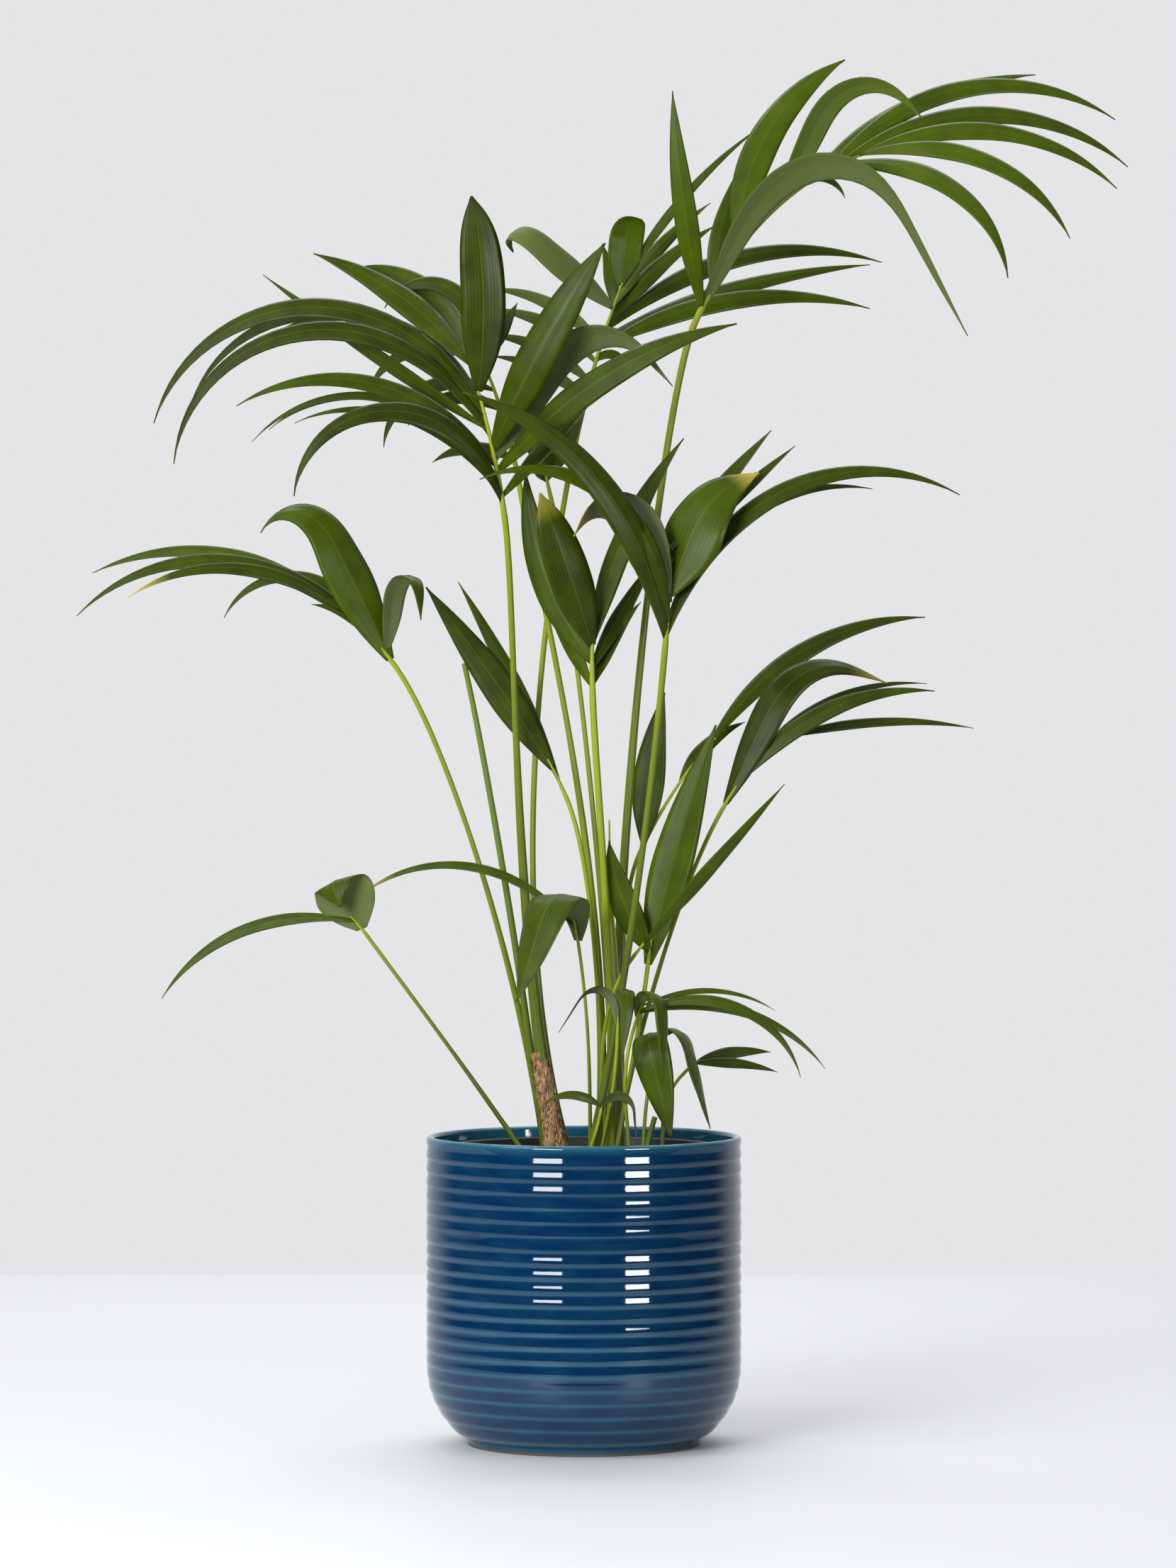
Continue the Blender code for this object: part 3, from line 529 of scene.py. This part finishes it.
def soil_material(look):
    """Moist peat and bark mix: dark, crumbly and matt, with lighter bark specks."""
    made, tree, shader = new_material("peat and bark potting soil")
    place = add_node(tree, "ShaderNodeTexCoord")
    # Crumbs of 2 to 4 mm.
    crumb = add_node(tree, "ShaderNodeTexNoise",
                     links={"Vector": place.outputs["Object"], "Scale": 300.0, "Detail": 6.0})
    share = add_node(tree, "ShaderNodeMapRange",
                     links={"Value": crumb.outputs["Fac"], "From Min": 0.35, "From Max": 0.75})
    base = add_node(tree, "ShaderNodeMixRGB", links={"Fac": share.outputs[0],
                                                     "Color1": solid(linear("#140e0a")),
                                                     "Color2": solid(look.soil)})
    tree.links.new(base.outputs[0], shader.inputs["Base Color"])
    bump = add_node(tree, "ShaderNodeBump", links={"Height": crumb.outputs["Fac"], "Strength": 0.8,
                                                   "Distance": 0.002})
    tree.links.new(bump.outputs[0], shader.inputs["Normal"])
    shader.inputs["Roughness"].default_value = 0.95
    return made


def floor_material(look):
    """Painted studio floor: pale and matt."""
    made, tree, shader = new_material("matt studio floor")
    shader.inputs["Base Color"].default_value = solid(look.floor)
    shader.inputs["Roughness"].default_value = 0.55
    return made


def add_piece(name, form, materials, slot, *nodes):
    """Turn a bmesh into a smooth-shaded piece that stands for the named nodes of the model."""
    mesh = bpy.data.meshes.new(name)
    form.to_mesh(mesh)
    form.free()
    for material in materials:
        mesh.materials.append(material)
    mesh.shade_smooth()
    mesh.set_sharp_from_angle(angle=math.radians(SHARP_EDGE))
    made = bpy.data.objects.new(name, mesh)
    bpy.context.scene.collection.objects.link(made)
    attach(made, BODY)
    if nodes:
        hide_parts(*nodes)
    return made


def direction(lean):
    """Unit vector in the front plane, leaning clockwise from upright by degrees."""
    angle = math.radians(lean)
    return Vector((math.sin(angle), 0.0, math.cos(angle)))


def arc(start, lean, reach, bend, depth, sections):
    """Points and tangents along a curve that turns by bend, more of it towards the tip."""
    fine = 4 * sections
    points = [Vector((0.0, 0.0, 0.0))]
    for step in range(fine):
        share = (step + 0.5) / fine
        points.append(points[-1] + direction(bend * share ** BEND_EASE) / fine)
    chord = points[-1]
    turned = math.radians(lean) - math.atan2(chord.x, chord.z)
    scale = reach / chord.length
    path = []
    for step in range(0, fine + 1, 4):
        share = step / fine
        point = points[step] * scale
        x = point.x * math.cos(turned) + point.z * math.sin(turned)
        z = point.z * math.cos(turned) - point.x * math.sin(turned)
        along = direction(bend * share ** BEND_EASE + math.degrees(turned)) * scale
        along.y = 2.0 * depth * (1.0 - share)
        path.append((start + Vector((x, depth * share * (2.0 - share), z)), along.normalized()))
    return path


def stem_curve(foot, tip, foot_way, tip_way, sections):
    """Points and tangents along a stalk that leaves its foot and reaches its tip in given ways."""
    handle = STALK_HANDLE * (tip - foot).length
    near = foot + foot_way * handle
    far = tip - tip_way * min(handle, STALK_TIP_HANDLE)
    path = []
    for step in range(sections + 1):
        t = step / sections
        u = 1.0 - t
        point = foot * u ** 3 + near * (3 * u * u * t) + far * (3 * u * t * t) + tip * t ** 3
        along = (near - foot) * (u * u) + (far - near) * (2 * u * t) + (tip - far) * (t * t)
        path.append((point, along.normalized()))
    return path


def nod(start, leaflet, sections):
    """Points, tangents and upper sides along a leaflet that folds over round its knee."""
    rise, front = direction(leaflet.lean), Vector((0.0, -1.0, 0.0))
    heading, turn = math.radians(leaflet.heading), math.radians(leaflet.turn)
    over = front * math.cos(heading) + rise.cross(front) * math.sin(heading)
    fine = 4 * sections
    point = start.copy()
    path = []
    for step in range(2 * fine + 1):
        share = min(1.0, max(0.0, (step / (2 * fine) - leaflet.knee) / KNEE_SPAN + 0.5))
        angle = math.radians(leaflet.bend) * share * share * (3.0 - 2.0 * share)
        tangent = rise * math.cos(angle) + over * math.sin(angle)
        if step % 2:
            point = point + tangent * (leaflet.length / fine)
        elif step % 8 == 0:
            upper = rise * math.sin(angle) - over * math.cos(angle)
            upper = upper * math.cos(turn) + tangent.cross(upper) * math.sin(turn)
            path.append((point, tangent, upper))
    return path


def square_front(tangent):
    """The viewer's side of a path, square to its tangent."""
    front = Vector((0.0, -1.0, 0.0))
    return (front - tangent * front.dot(tangent)).normalized()


def leaf_path(start, leaflet, sections):
    """Points, tangents and upper sides along a leaflet of either kind."""
    if isinstance(leaflet, Nod):
        return nod(start, leaflet, sections)
    turn = math.radians(leaflet.turn)
    side = -1.0 if leaflet.bend > 0 else 1.0
    path = []
    for point, tangent in arc(start, leaflet.lean, leaflet.reach, leaflet.bend, leaflet.depth, sections):
        front = square_front(tangent)
        upper = front * math.cos(turn) + tangent.cross(front) * (side * math.sin(turn))
        path.append((point, tangent, upper))
    return path


def add_limb(form, path, width_at, sides, relief=None, flat_foot=False, shift=0.0):
    """Loft a round limb along a path into a bmesh, with relief in millimetres on its surface."""
    along = form.verts.layers.float.get("along") or form.verts.layers.float.new("along")
    sections = len(path) - 1
    others = len(form.verts)
    made = bmesh.ops.create_cone(form, cap_ends=True, segments=sides, radius1=1.0, radius2=1.0, depth=1.0)
    rails = {edge for vert in made["verts"] for edge in vert.link_edges
             if abs(edge.verts[0].co.z - edge.verts[1].co.z) > 0.5}
    bmesh.ops.subdivide_edges(form, edges=list(rails), cuts=sections - 1)
    for vert in list(form.verts)[others:]:
        share = vert.co.z + 0.5
        index = round(share * sections)
        corner = Vector((vert.co.x, vert.co.y))
        point, tangent = path[index]
        front = square_front(tangent)
        offset = (front.cross(tangent) * corner.x + front * corner.y) * (width_at(index / sections) / 2.0)
        if relief:
            offset += offset.normalized() * relief(index / sections, math.atan2(corner.x, corner.y), point)
        if flat_foot and index == 0:
            offset -= tangent * (offset.z / tangent.z)
        vert.co = (point + offset) * MM
        vert[along] = index / sections + shift


def stalk_width(foot_width, top_width):
    """Width along a stalk, from its sheathing foot to its slender top."""
    def width(share):
        narrowed = min(1.0, share / SHEATH_SHARE) ** SHEATH_EASE
        return foot_width + (top_width - foot_width) * narrowed
    return width


def blade_width(share, taper):
    """Width of a leaflet along its length, as a part of its widest."""
    if share < BLADE_WIDEST:
        return BLADE_ROOT + (1.0 - BLADE_ROOT) * math.sin(math.pi / 2 * share / BLADE_WIDEST)
    return max(BLADE_TIP, 1.0 - ((share - BLADE_WIDEST) / (1.0 - BLADE_WIDEST)) ** taper)


def add_blade(form, layers, start, leaflet, tone, dryness, phase, shown_under):
    """Shape a grid into a leaflet: pleated, folded along its midrib, a little wavy at its edges."""
    path = leaf_path(start, leaflet, BLADE_ALONG)
    made = bmesh.ops.create_grid(form, x_segments=BLADE_ACROSS, y_segments=BLADE_ALONG, size=0.5)
    places = {}
    for vert in made["verts"]:
        u = vert.co.x + 0.5
        index = round((vert.co.y + 0.5) * BLADE_ALONG)
        share = index / BLADE_ALONG
        point, tangent, upper = path[index]
        across = upper.cross(tangent)
        half = leaflet.width * blade_width(share, leaflet.taper) / 2.0
        out = 2.0 * u - 1.0
        pleat = 0.22 * math.cos(out * math.tau * 1.5) * min(1.0, half / 6.0)
        wave = 0.035 * half * abs(out) * math.sin(share * 17.0 + phase + out)
        lift = 0.9 - BLADE_FOLD * abs(out) ** 1.3 * half + pleat + wave
        vert.co = (point + across * (out * half) + upper * lift) * MM
        vert[layers["tone"]] = tone
        vert[layers["age"]] = dryness * max(0.0, (share - DRY_FROM) / (1.0 - DRY_FROM)) ** 0.7
        places[vert] = (u, share)
    faces = {face for vert in made["verts"] for face in vert.link_faces}
    for face in faces:
        for loop in face.loops:
            loop[layers["uv"]].uv = places[loop.vert]
    if not shown_under:
        bmesh.ops.reverse_faces(form, faces=list(faces))


def turned_piece(name, profile, steps, materials, slot, node, mark=None):
    """Spin a profile, given as radius, height and an attribute value, round the Z axis."""
    form = bmesh.new()
    value = form.verts.layers.float.new(mark or "turned")
    verts = []
    for radius, height, amount in profile:
        vert = form.verts.new((radius * MM, 0.0, height * MM))
        vert[value] = amount
        verts.append(vert)
    edges = [form.edges.new(pair) for pair in zip(verts, verts[1:])]
    bmesh.ops.spin(form, geom=verts + edges, cent=(0.0, 0.0, 0.0), axis=(0.0, 0.0, 1.0),
                   angle=math.tau, steps=steps, use_merge=True)
    bmesh.ops.remove_doubles(form, verts=form.verts, dist=0.000001)
    bmesh.ops.recalc_face_normals(form, faces=form.faces)
    return add_piece(name, form, materials, slot, node)


def pot_radius(height):
    """Outer radius of the pot at a height, without its ribs."""
    share = min(1.0, (height - POT_FOOT_HEIGHT) / (POT_SHOULDER - POT_FOOT_HEIGHT))
    lower = POT_FOOT_RADIUS + 6.0
    return lower + (POT_RADIUS - lower) * (1.0 - (1.0 - share) ** 2.6)


def groove_glaze_and_reflection(height):
    """How strong the teal line in a groove is: thin glaze, with more of it lower down as a painted reflection of
    the floor in the ribs' undersides.
    """
    return 0.2 + 0.4 * min(1.0, max(0.0, (170.0 - height) / 80.0))


def pot_profile(look):
    """Profile of the pot as radius, height and how much teal shows (thin glaze, and the painted floor reflection
    in the grooves), from inside to foot.
    """
    pitch, depth = look.rib_pitch / MM, look.rib_depth / MM
    inner_top = POT_RADIUS - POT_WALL
    profile = [(0.0, POT_FLOOR, 0.2)]
    for height in (POT_FLOOR, 18.0, 26.0, 35.0, 45.0, 57.0, POT_SHOULDER, 120.0, 200.0):
        inner = min(inner_top, pot_radius(height) - POT_WALL)
        profile.append((inner, height, 0.1))
    lip = POT_LIP / 2.0
    middle, rim = inner_top + lip, POT_HEIGHT - lip
    for step in range(11):
        turn = math.pi * step / 10
        profile.append((middle - lip * math.cos(turn), rim + lip * math.sin(turn), 0.5 + 0.5 * math.sin(turn)))
    first_groove = POT_HEIGHT - RIB_TOP + pitch / 2.0
    for step in range(1, RIB_COUNT * RIB_STEPS):
        down = step / RIB_STEPS
        height = first_groove - down * pitch
        if height < POT_FOOT_HEIGHT + 1.0:
            break
        strength = RIB_STRENGTHS[min(int(down), len(RIB_STRENGTHS) - 1)]
        round_out = math.sin(math.pi * (down % 1.0) ** RIB_CREST)
        bulge = math.sqrt(round_out ** 2 + GROOVE_ROUNDING ** 2) - 1.0
        # Teal line on each rib's underside just above the groove: thin glaze and a painted reflection of the
        # floor.
        glaze = math.cos(math.pi * (down + 0.08)) ** 2
        profile.append((pot_radius(height) + depth * strength * bulge, height, glaze ** GROOVE_LINE_SHARPNESS * groove_glaze_and_reflection(height)))
    profile += [(POT_FOOT_RADIUS + 4.0, POT_FOOT_HEIGHT, 0.6), (POT_FOOT_RADIUS + 0.6, POT_FOOT_HEIGHT - 0.6, 0.3),
                (POT_FOOT_RADIUS, POT_FOOT_HEIGHT - 1.6, 0.3), (POT_FOOT_RADIUS, BARE_FOOT, 0.5),
                (POT_FOOT_RADIUS - 0.2, BARE_FOOT - 0.3, 0.0), (POT_FOOT_RADIUS - 0.3, 0.8, 0.0),
                (POT_FOOT_RADIUS - 1.0, 0.0, 0.0), (0.0, 0.0, 0.0)]
    return profile


class PALM_OT_pot(bpy.types.Operator):
    """Make the ribbed, glazed pot with its bare clay foot"""
    bl_idname = "palm.pot"
    bl_label = "Pot"

    def execute(self, context):
        look = context.scene.palm_pot
        pot = turned_piece("pot_glazed", pot_profile(look), POT_TURNS,
                           (glaze_material(look), clay_material(look)), "glaze", "pot", "thin")
        for face in pot.data.polygons:
            if max(pot.data.vertices[v].co.z for v in face.vertices) < (BARE_FOOT - 0.1) * MM:
                face.material_index = 1
        return {"FINISHED"}


class PALM_OT_soil(bpy.types.Operator):
    """Make the black liner and the crumbly soil in it"""
    bl_idname = "palm.soil"
    bl_label = "Liner and soil"

    def execute(self, context):
        look = context.scene.palm_pot
        foot = POT_FLOOR + GAP
        lip = GROW_LIP
        outline = [(0.0, foot + GROW_WALL), (GROW_FOOT_RADIUS - GROW_WALL, foot + GROW_WALL),
                   (GROW_TOP_RADIUS - GROW_WALL, GROW_RIM - 1.0), (GROW_TOP_RADIUS - GROW_WALL + 0.6, GROW_RIM),
                   (GROW_TOP_RADIUS + lip - 0.8, GROW_RIM), (GROW_TOP_RADIUS + lip, GROW_RIM - 0.8),
                   (GROW_TOP_RADIUS + lip, GROW_RIM - lip), (GROW_TOP_RADIUS + lip - 1.2, GROW_RIM - lip),
                   (GROW_TOP_RADIUS + lip - 1.2, GROW_RIM - 1.4), (GROW_TOP_RADIUS, GROW_RIM - 1.6),
                   (GROW_FOOT_RADIUS, foot), (0.0, foot)]
        turned_piece("liner_moulded", [(r, z, 0.0) for r, z in outline], GROW_TURNS,
                     (liner_material(look),), "liner", "grow_pot")
        self.make_soil(look)
        return {"FINISHED"}

    def make_soil(self, look):
        """Shape a grid into a bumpy disc with loose crumbs on it."""
        form = bmesh.new()
        made = bmesh.ops.create_grid(form, x_segments=SOIL_CELLS, y_segments=SOIL_CELLS, size=1.0)
        spread = (GROW_TOP_RADIUS - GROW_FOOT_RADIUS) / (GROW_RIM - POT_FLOOR)
        radius = GROW_FOOT_RADIUS + spread * (SOIL_TOP - POT_FLOOR) - GROW_WALL - GAP
        for vert in made["verts"]:
            x, y = vert.co.x, vert.co.y
            disc = Vector((x * math.sqrt(1.0 - y * y / 2.0), y * math.sqrt(1.0 - x * x / 2.0), 0.0)) * radius
            bump = noise.fractal(disc * 0.14, 0.8, 2.2, 4)
            vert.co = Vector((disc.x, disc.y, SOIL_TOP - SOIL_RELIEF / 2 + bump * SOIL_RELIEF * 0.6)) * MM
        rim = [edge for edge in form.edges if edge.is_boundary]
        skirt = bmesh.ops.extrude_edge_only(form, edges=rim)["geom"]
        for item in skirt:
            if isinstance(item, bmesh.types.BMVert):
                item.co.z = (SOIL_TOP - 25.0) * MM
        bmesh.ops.holes_fill(form, edges=[edge for edge in form.edges if edge.is_boundary], sides=0)
        bmesh.ops.recalc_face_normals(form, faces=form.faces)
        dice = random.Random(5)
        for _ in range(SOIL_CRUMBS):
            turn, reach = dice.uniform(0, math.tau), math.sqrt(dice.random()) * (radius - 6.0)
            size = dice.uniform(1.0, 3.4)
            crumb = bmesh.ops.create_icosphere(form, subdivisions=1, radius=1.0)["verts"]
            centre = Vector((math.cos(turn) * reach, math.sin(turn) * reach, SOIL_TOP - 0.6))
            stretch = Vector((dice.uniform(0.6, 1.3), dice.uniform(0.6, 1.3), dice.uniform(0.4, 0.8)))
            for vert in crumb:
                vert.co = (centre + vert.co * stretch * size * dice.uniform(0.8, 1.1)) * MM
        add_piece("soil_crumbly", form, (soil_material(look),), "soil", "soil")


class PALM_OT_trunk(bpy.types.Operator):
    """Make the short trunk, matted with old leaf-base fibre and surface roots"""
    bl_idname = "palm.trunk"
    bl_label = "Trunk"

    def execute(self, context):
        look = context.scene.palm_plant
        foot = Vector((*TRUNK_FOOT, SOIL_TOP + GAP))
        ways = [direction(lean) for lean in TRUNK_LEANS]
        path = stem_curve(foot, Vector(TRUNK_TOP) + ways[1] * TRUNK_COLLAR, *ways, TRUNK_SECTIONS)

        def width(share):
            body = TRUNK_WAIST + (TRUNK_TIP - TRUNK_WAIST) * share
            return body + (TRUNK_FLARE - TRUNK_WAIST) * (1.0 - min(1.0, share / TRUNK_FLARE_SHARE)) ** 2 - 1.6

        def relief(share, angle, point):
            ring = 0.5 * math.sin(share * 52.0 + 2.0 * math.sin(angle))
            place = Vector((math.cos(angle) * 2.2, math.sin(angle) * 2.2, share * 9.0))
            return ring * 0.5 + 1.1 * noise.noise(place * 2.3) + 0.5 * noise.noise(place * 7.0)
        form = bmesh.new()
        add_limb(form, path, width, TRUNK_SIDES, relief, flat_foot=True)
        dice = random.Random(11)
        for _ in range(TRUNK_ROOTS):
            self.add_root(form, path, width, dice)
        bmesh.ops.recalc_face_normals(form, faces=form.faces)
        add_piece("trunk_fibrous", form, (fibre_material(look),), "trunk_fibre", "trunk")
        return {"FINISHED"}

    def add_root(self, form, path, width, dice):
        """Lay a thin wandering root on the trunk's side."""
        start = dice.uniform(0.0, 0.75)
        end = min(1.0, start + dice.uniform(0.15, 0.35))
        angle, twist = dice.uniform(0.0, math.tau), dice.uniform(-1.6, 1.6)
        points = []
        steps = 9
        for step in range(steps + 1):
            share = start + (end - start) * step / steps
            point, tangent = path[round(share * TRUNK_SECTIONS)]
            front = square_front(tangent)
            turn = angle + twist * step / steps
            out = front.cross(tangent) * math.sin(turn) + front * math.cos(turn)
            points.append(point + out * (width(share) / 2.0 + 0.2 + 0.5 * math.sin(step * 2.1 + angle)))
        ways = [(points[min(i + 1, steps)] - points[max(i - 1, 0)]).normalized() for i in range(steps + 1)]
        add_limb(form, list(zip(points, ways)), lambda share: 1.3 - 0.7 * share, 6)


def stalk_foot(name, foot):
    """Lowest point of a stalk, on the soil or on the trunk's top."""
    if name in ON_TRUNK:
        return Vector((*foot, TRUNK_TOP[2] + TRUNK_CLEARANCE))
    return Vector((*foot, SOIL_TOP + GAP))


class PALM_OT_stalks(bpy.types.Operator):
    """Make the grooved stalks with the ribs that carry the leaflets, and the cut stalks"""
    bl_idname = "palm.stalks"
    bl_label = "Stalks"

    def execute(self, context):
        look = context.scene.palm_plant
        green = stalk_material("green petiole rind", look.stalk, look.stalk_foot)
        old = stalk_material("drying petiole rind", look.old_stalk, look.stalk_foot, 0.6)
        for frond in FRONDS:
            self.make_stalk(frond, green)
        for cut in CUT_STALKS:
            foot_width, tip_width = cut.widths
            ways = [direction(lean) for lean in cut.lean]
            foot, tip = stalk_foot(cut.name, cut.foot), Vector(cut.tip)
            sections = max(6, round((tip - foot).length / STALK_PITCH))
            path = stem_curve(foot, tip, *ways, sections)
            form = bmesh.new()
            add_limb(form, path, lambda share: foot_width + (tip_width - foot_width) * share,
                     STALK_SIDES, self.grooves, flat_foot=True)
            bmesh.ops.recalc_face_normals(form, faces=form.faces)
            rind, slot = (green, "stalk") if cut.name in FRESH else (old, "old_stalk")
            add_piece(cut.name + "_rind", form, (rind,), slot, cut.name)
        return {"FINISHED"}

    def grooves(self, share, angle, point):
        """Three shallow lengthwise ridges round a stalk, with a slight unevenness."""
        return -0.08 + 0.06 * math.cos(3.0 * angle) + 0.05 * noise.noise(point * 0.05)

    def make_stalk(self, frond, material):
        """Make one stalk and run it on into the rib of its frond."""
        lean, reach, bend, depth = frond.rib
        foot_width, top_width, foot_lean = frond.stalk
        base = Vector(frond.base)
        rib_way = arc(base, lean, reach, bend, depth, RIB_SECTIONS)[0][1]
        foot = stalk_foot(frond.name, frond.foot)
        sections = round((base - foot).length / STALK_PITCH)
        path = stem_curve(foot, base, direction(foot_lean), rib_way, sections)
        form = bmesh.new()
        age = STALK_AGES.get(frond.name, 0.0)
        add_limb(form, path, stalk_width(foot_width, top_width), STALK_SIDES, self.grooves, flat_foot=True,
                 shift=-age)
        rib = arc(base - rib_way * GAP, lean, reach, bend, depth, max(6, round(reach / STALK_PITCH)))
        add_limb(form, rib, lambda share: top_width * RIB_START * (1.0 - share) + RIB_END * share,
                 STALK_SIDES, shift=1.0 - age)
        bmesh.ops.recalc_face_normals(form, faces=form.faces)
        add_piece("stem_" + frond.name, form, (material,), "stalk", "stalk_" + frond.name)


class PALM_OT_fronds(bpy.types.Operator):
    """Make the leaflets of every frond, joined by frond"""
    bl_idname = "palm.fronds"
    bl_label = "Fronds"

    def execute(self, context):
        look = context.scene.palm_plant
        faces = (leaf_material("kentia leaf, waxy upper face", look, True),
                 leaf_material("kentia leaf, matt under face", look, False))
        for frond in FRONDS:
            self.make_frond(frond, faces, look)
        return {"FINISHED"}

    def make_frond(self, frond, materials, look):
        """Grow a frond's leaflets from its rib and give them their thickness."""
        lean, reach, bend, depth = frond.rib
        base = Vector(frond.base)
        rib_way = arc(base, lean, reach, bend, depth, RIB_SECTIONS)[0][1]
        rib = arc(base + rib_way * GAP, lean, reach, bend, depth, RIB_SECTIONS)
        form = bmesh.new()
        layers = {"tone": form.verts.layers.float.new("tone"), "age": form.verts.layers.float.new("age"),
                  "uv": form.loops.layers.uv.new("leaf")}
        dice = random.Random(frond.name)
        for index, leaflet in enumerate(frond.leaflets):
            place = leaflet.at * RIB_SECTIONS
            low = min(int(place), RIB_SECTIONS - 1)
            root = rib[low][0].lerp(rib[low + 1][0], place - low)
            dryness = DRY_TIPS.get((frond.name, index), 0.0)
            tone = TONES.get(frond.name, COMMON_TONE) + dice.uniform(-0.2, 0.2)
            shown_under = index in SHOWN_UNDER.get(frond.name, ())
            add_blade(form, layers, root, leaflet, tone, dryness, dice.uniform(0.0, 6.0), shown_under)
        made = add_piece("leaves_" + frond.name, form, materials, "leaf", "frond_" + frond.name)
        shell = made.modifiers.new("thickness", "SOLIDIFY")
        shell.thickness = look.blade_thickness
        shell.offset = -1.0
        shell.material_offset = 1
        shell.use_even_offset = False


class PALM_OT_stage(bpy.types.Operator):
    """Make the floor, the backdrop, the lights and the camera"""
    bl_idname = "palm.stage"
    bl_label = "Stage"

    def execute(self, context):
        look = context.scene.palm_stage
        scene = context.scene
        form = bmesh.new()
        made = bmesh.ops.create_grid(form, x_segments=1, y_segments=1, size=1.0)
        for vert in made["verts"]:
            vert.co = Vector((vert.co.x * 6.0, FLOOR_BACK if vert.co.y > 0 else FLOOR_FRONT, 0.0))
        mesh = bpy.data.meshes.new("studio_floor")
        form.to_mesh(mesh)
        form.free()
        mesh.materials.append(floor_material(look))
        floor = bpy.data.objects.new("studio_floor", mesh)
        scene.collection.objects.link(floor)
        self.make_world(scene, look)
        self.add_light(scene, "top_softbox", (-1.9, -1.5, 2.3), (0.0, 0.0, 0.45), (1.5, 1.5), look.key_power)
        self.add_light(scene, "left_strip", (-1.10, -2.25, 0.98), (0.0, 0.0, 0.30), (0.95, 0.8), look.strip_power)
        fill = self.add_light(scene, "right_strip", (1.60, -2.0, 0.76), (0.0, 0.0, 0.35), (0.80, 0.72),
                              look.strip_power)
        fill.visible_diffuse = False
        self.add_light(scene, "back_softbox", (0.0, 1.2, 2.4), (0.0, 1.2, 0.0), (2.4, 0.8), look.back_power)
        self.make_camera(scene)
        return {"FINISHED"}

    def make_world(self, scene, look):
        """Pale backdrop for the camera, a bright back and a dim front for reflections."""
        world = bpy.data.worlds.new("studio")
        world.use_nodes = True
        tree = world.node_tree
        tree.nodes.clear()
        place = add_node(tree, "ShaderNodeTexCoord")
        way = add_node(tree, "ShaderNodeSeparateXYZ", links={"Vector": place.outputs["Generated"]})
        back = add_node(tree, "ShaderNodeMapRange", {"interpolation_type": "SMOOTHSTEP"},
                        {"Value": way.outputs["Y"], "From Min": 0.3, "From Max": 0.75,
                         "To Min": FRONT_LIGHT, "To Max": BACK_LIGHT})
        above = add_node(tree, "ShaderNodeMapRange", {"interpolation_type": "SMOOTHSTEP"},
                         {"Value": way.outputs["Z"], "From Min": 0.30, "From Max": 0.60,
                          "To Min": 0.0, "To Max": TOP_LIGHT})
        bright = add_node(tree, "ShaderNodeMath", {"operation": "MAXIMUM"},
                          {0: back.outputs[0], 1: above.outputs[0]})
        shade = add_node(tree, "ShaderNodeBackground", links={"Color": solid(look.wall),
                                                              "Strength": bright.outputs[0]})
        plain = add_node(tree, "ShaderNodeBackground", links={"Color": solid(look.wall), "Strength": 1.0})
        ray = add_node(tree, "ShaderNodeLightPath")
        mixed = add_node(tree, "ShaderNodeMixShader", links={0: ray.outputs["Is Camera Ray"],
                                                             1: shade.outputs[0], 2: plain.outputs[0]})
        add_node(tree, "ShaderNodeOutputWorld", links={"Surface": mixed.outputs[0]})
        scene.world = world
        scene.view_settings.view_transform = "Standard"

    def add_light(self, scene, name, place, target, size, power):
        """Aim a rectangular softbox at a point."""
        light = bpy.data.lights.new(name, "AREA")
        light.shape = "RECTANGLE"
        light.size, light.size_y = size
        light.energy = power
        lamp = bpy.data.objects.new(name, light)
        lamp.location = place
        lamp.rotation_euler = (Vector(target) - Vector(place)).to_track_quat("-Z", "Y").to_euler()
        scene.collection.objects.link(lamp)
        return lamp

    def make_camera(self, scene):
        """Stand the camera where the photograph was taken from."""
        lens = bpy.data.cameras.new("photo_camera")
        lens.sensor_fit = "VERTICAL"
        lens.sensor_height = SENSOR
        lens.lens = SENSOR * FOCAL_PIXELS / PHOTO_HEIGHT
        lens.clip_end = 100.0
        camera = bpy.data.objects.new("photo_camera", lens)
        camera.location = CAMERA_PLACE
        camera.rotation_euler = (math.radians(90.0 + CAMERA_PITCH), 0.0, 0.0)
        scene.collection.objects.link(camera)
        scene.camera = camera


STEPS = ("stage", "pot", "soil", "trunk", "stalks", "fronds")


class PALM_PT_panel(bpy.types.Panel):
    """Sizes, colours and buttons of the palm"""
    bl_label = "Potted kentia palm"
    bl_idname = "PALM_PT_panel"
    bl_space_type = "VIEW_3D"
    bl_region_type = "UI"
    bl_category = "Palm"

    def draw(self, context):
        for look in (context.scene.palm_pot, context.scene.palm_plant, context.scene.palm_stage):
            for name in look.bl_rna.properties.keys():
                if name not in ("rna_type", "name"):
                    self.layout.prop(look, name)
        for step in STEPS:
            self.layout.operator("palm." + step)


CLASSES = (PotLook, PlantLook, StageLook, PALM_OT_stage, PALM_OT_pot, PALM_OT_soil, PALM_OT_trunk,
           PALM_OT_stalks, PALM_OT_fronds, PALM_PT_panel)


def register():
    """Register the classes and their settings."""
    for kind in CLASSES:
        bpy.utils.register_class(kind)
    bpy.types.Scene.palm_pot = bpy.props.PointerProperty(type=PotLook)
    bpy.types.Scene.palm_plant = bpy.props.PointerProperty(type=PlantLook)
    bpy.types.Scene.palm_stage = bpy.props.PointerProperty(type=StageLook)


def unregister():
    """Remove the settings and the classes."""
    del bpy.types.Scene.palm_pot, bpy.types.Scene.palm_plant, bpy.types.Scene.palm_stage
    for kind in reversed(CLASSES):
        bpy.utils.unregister_class(kind)


def main():
    """Make every piece in order."""
    register()
    for step in STEPS:
        getattr(bpy.ops.palm, step)()


if __name__ == "__main__":
    main()
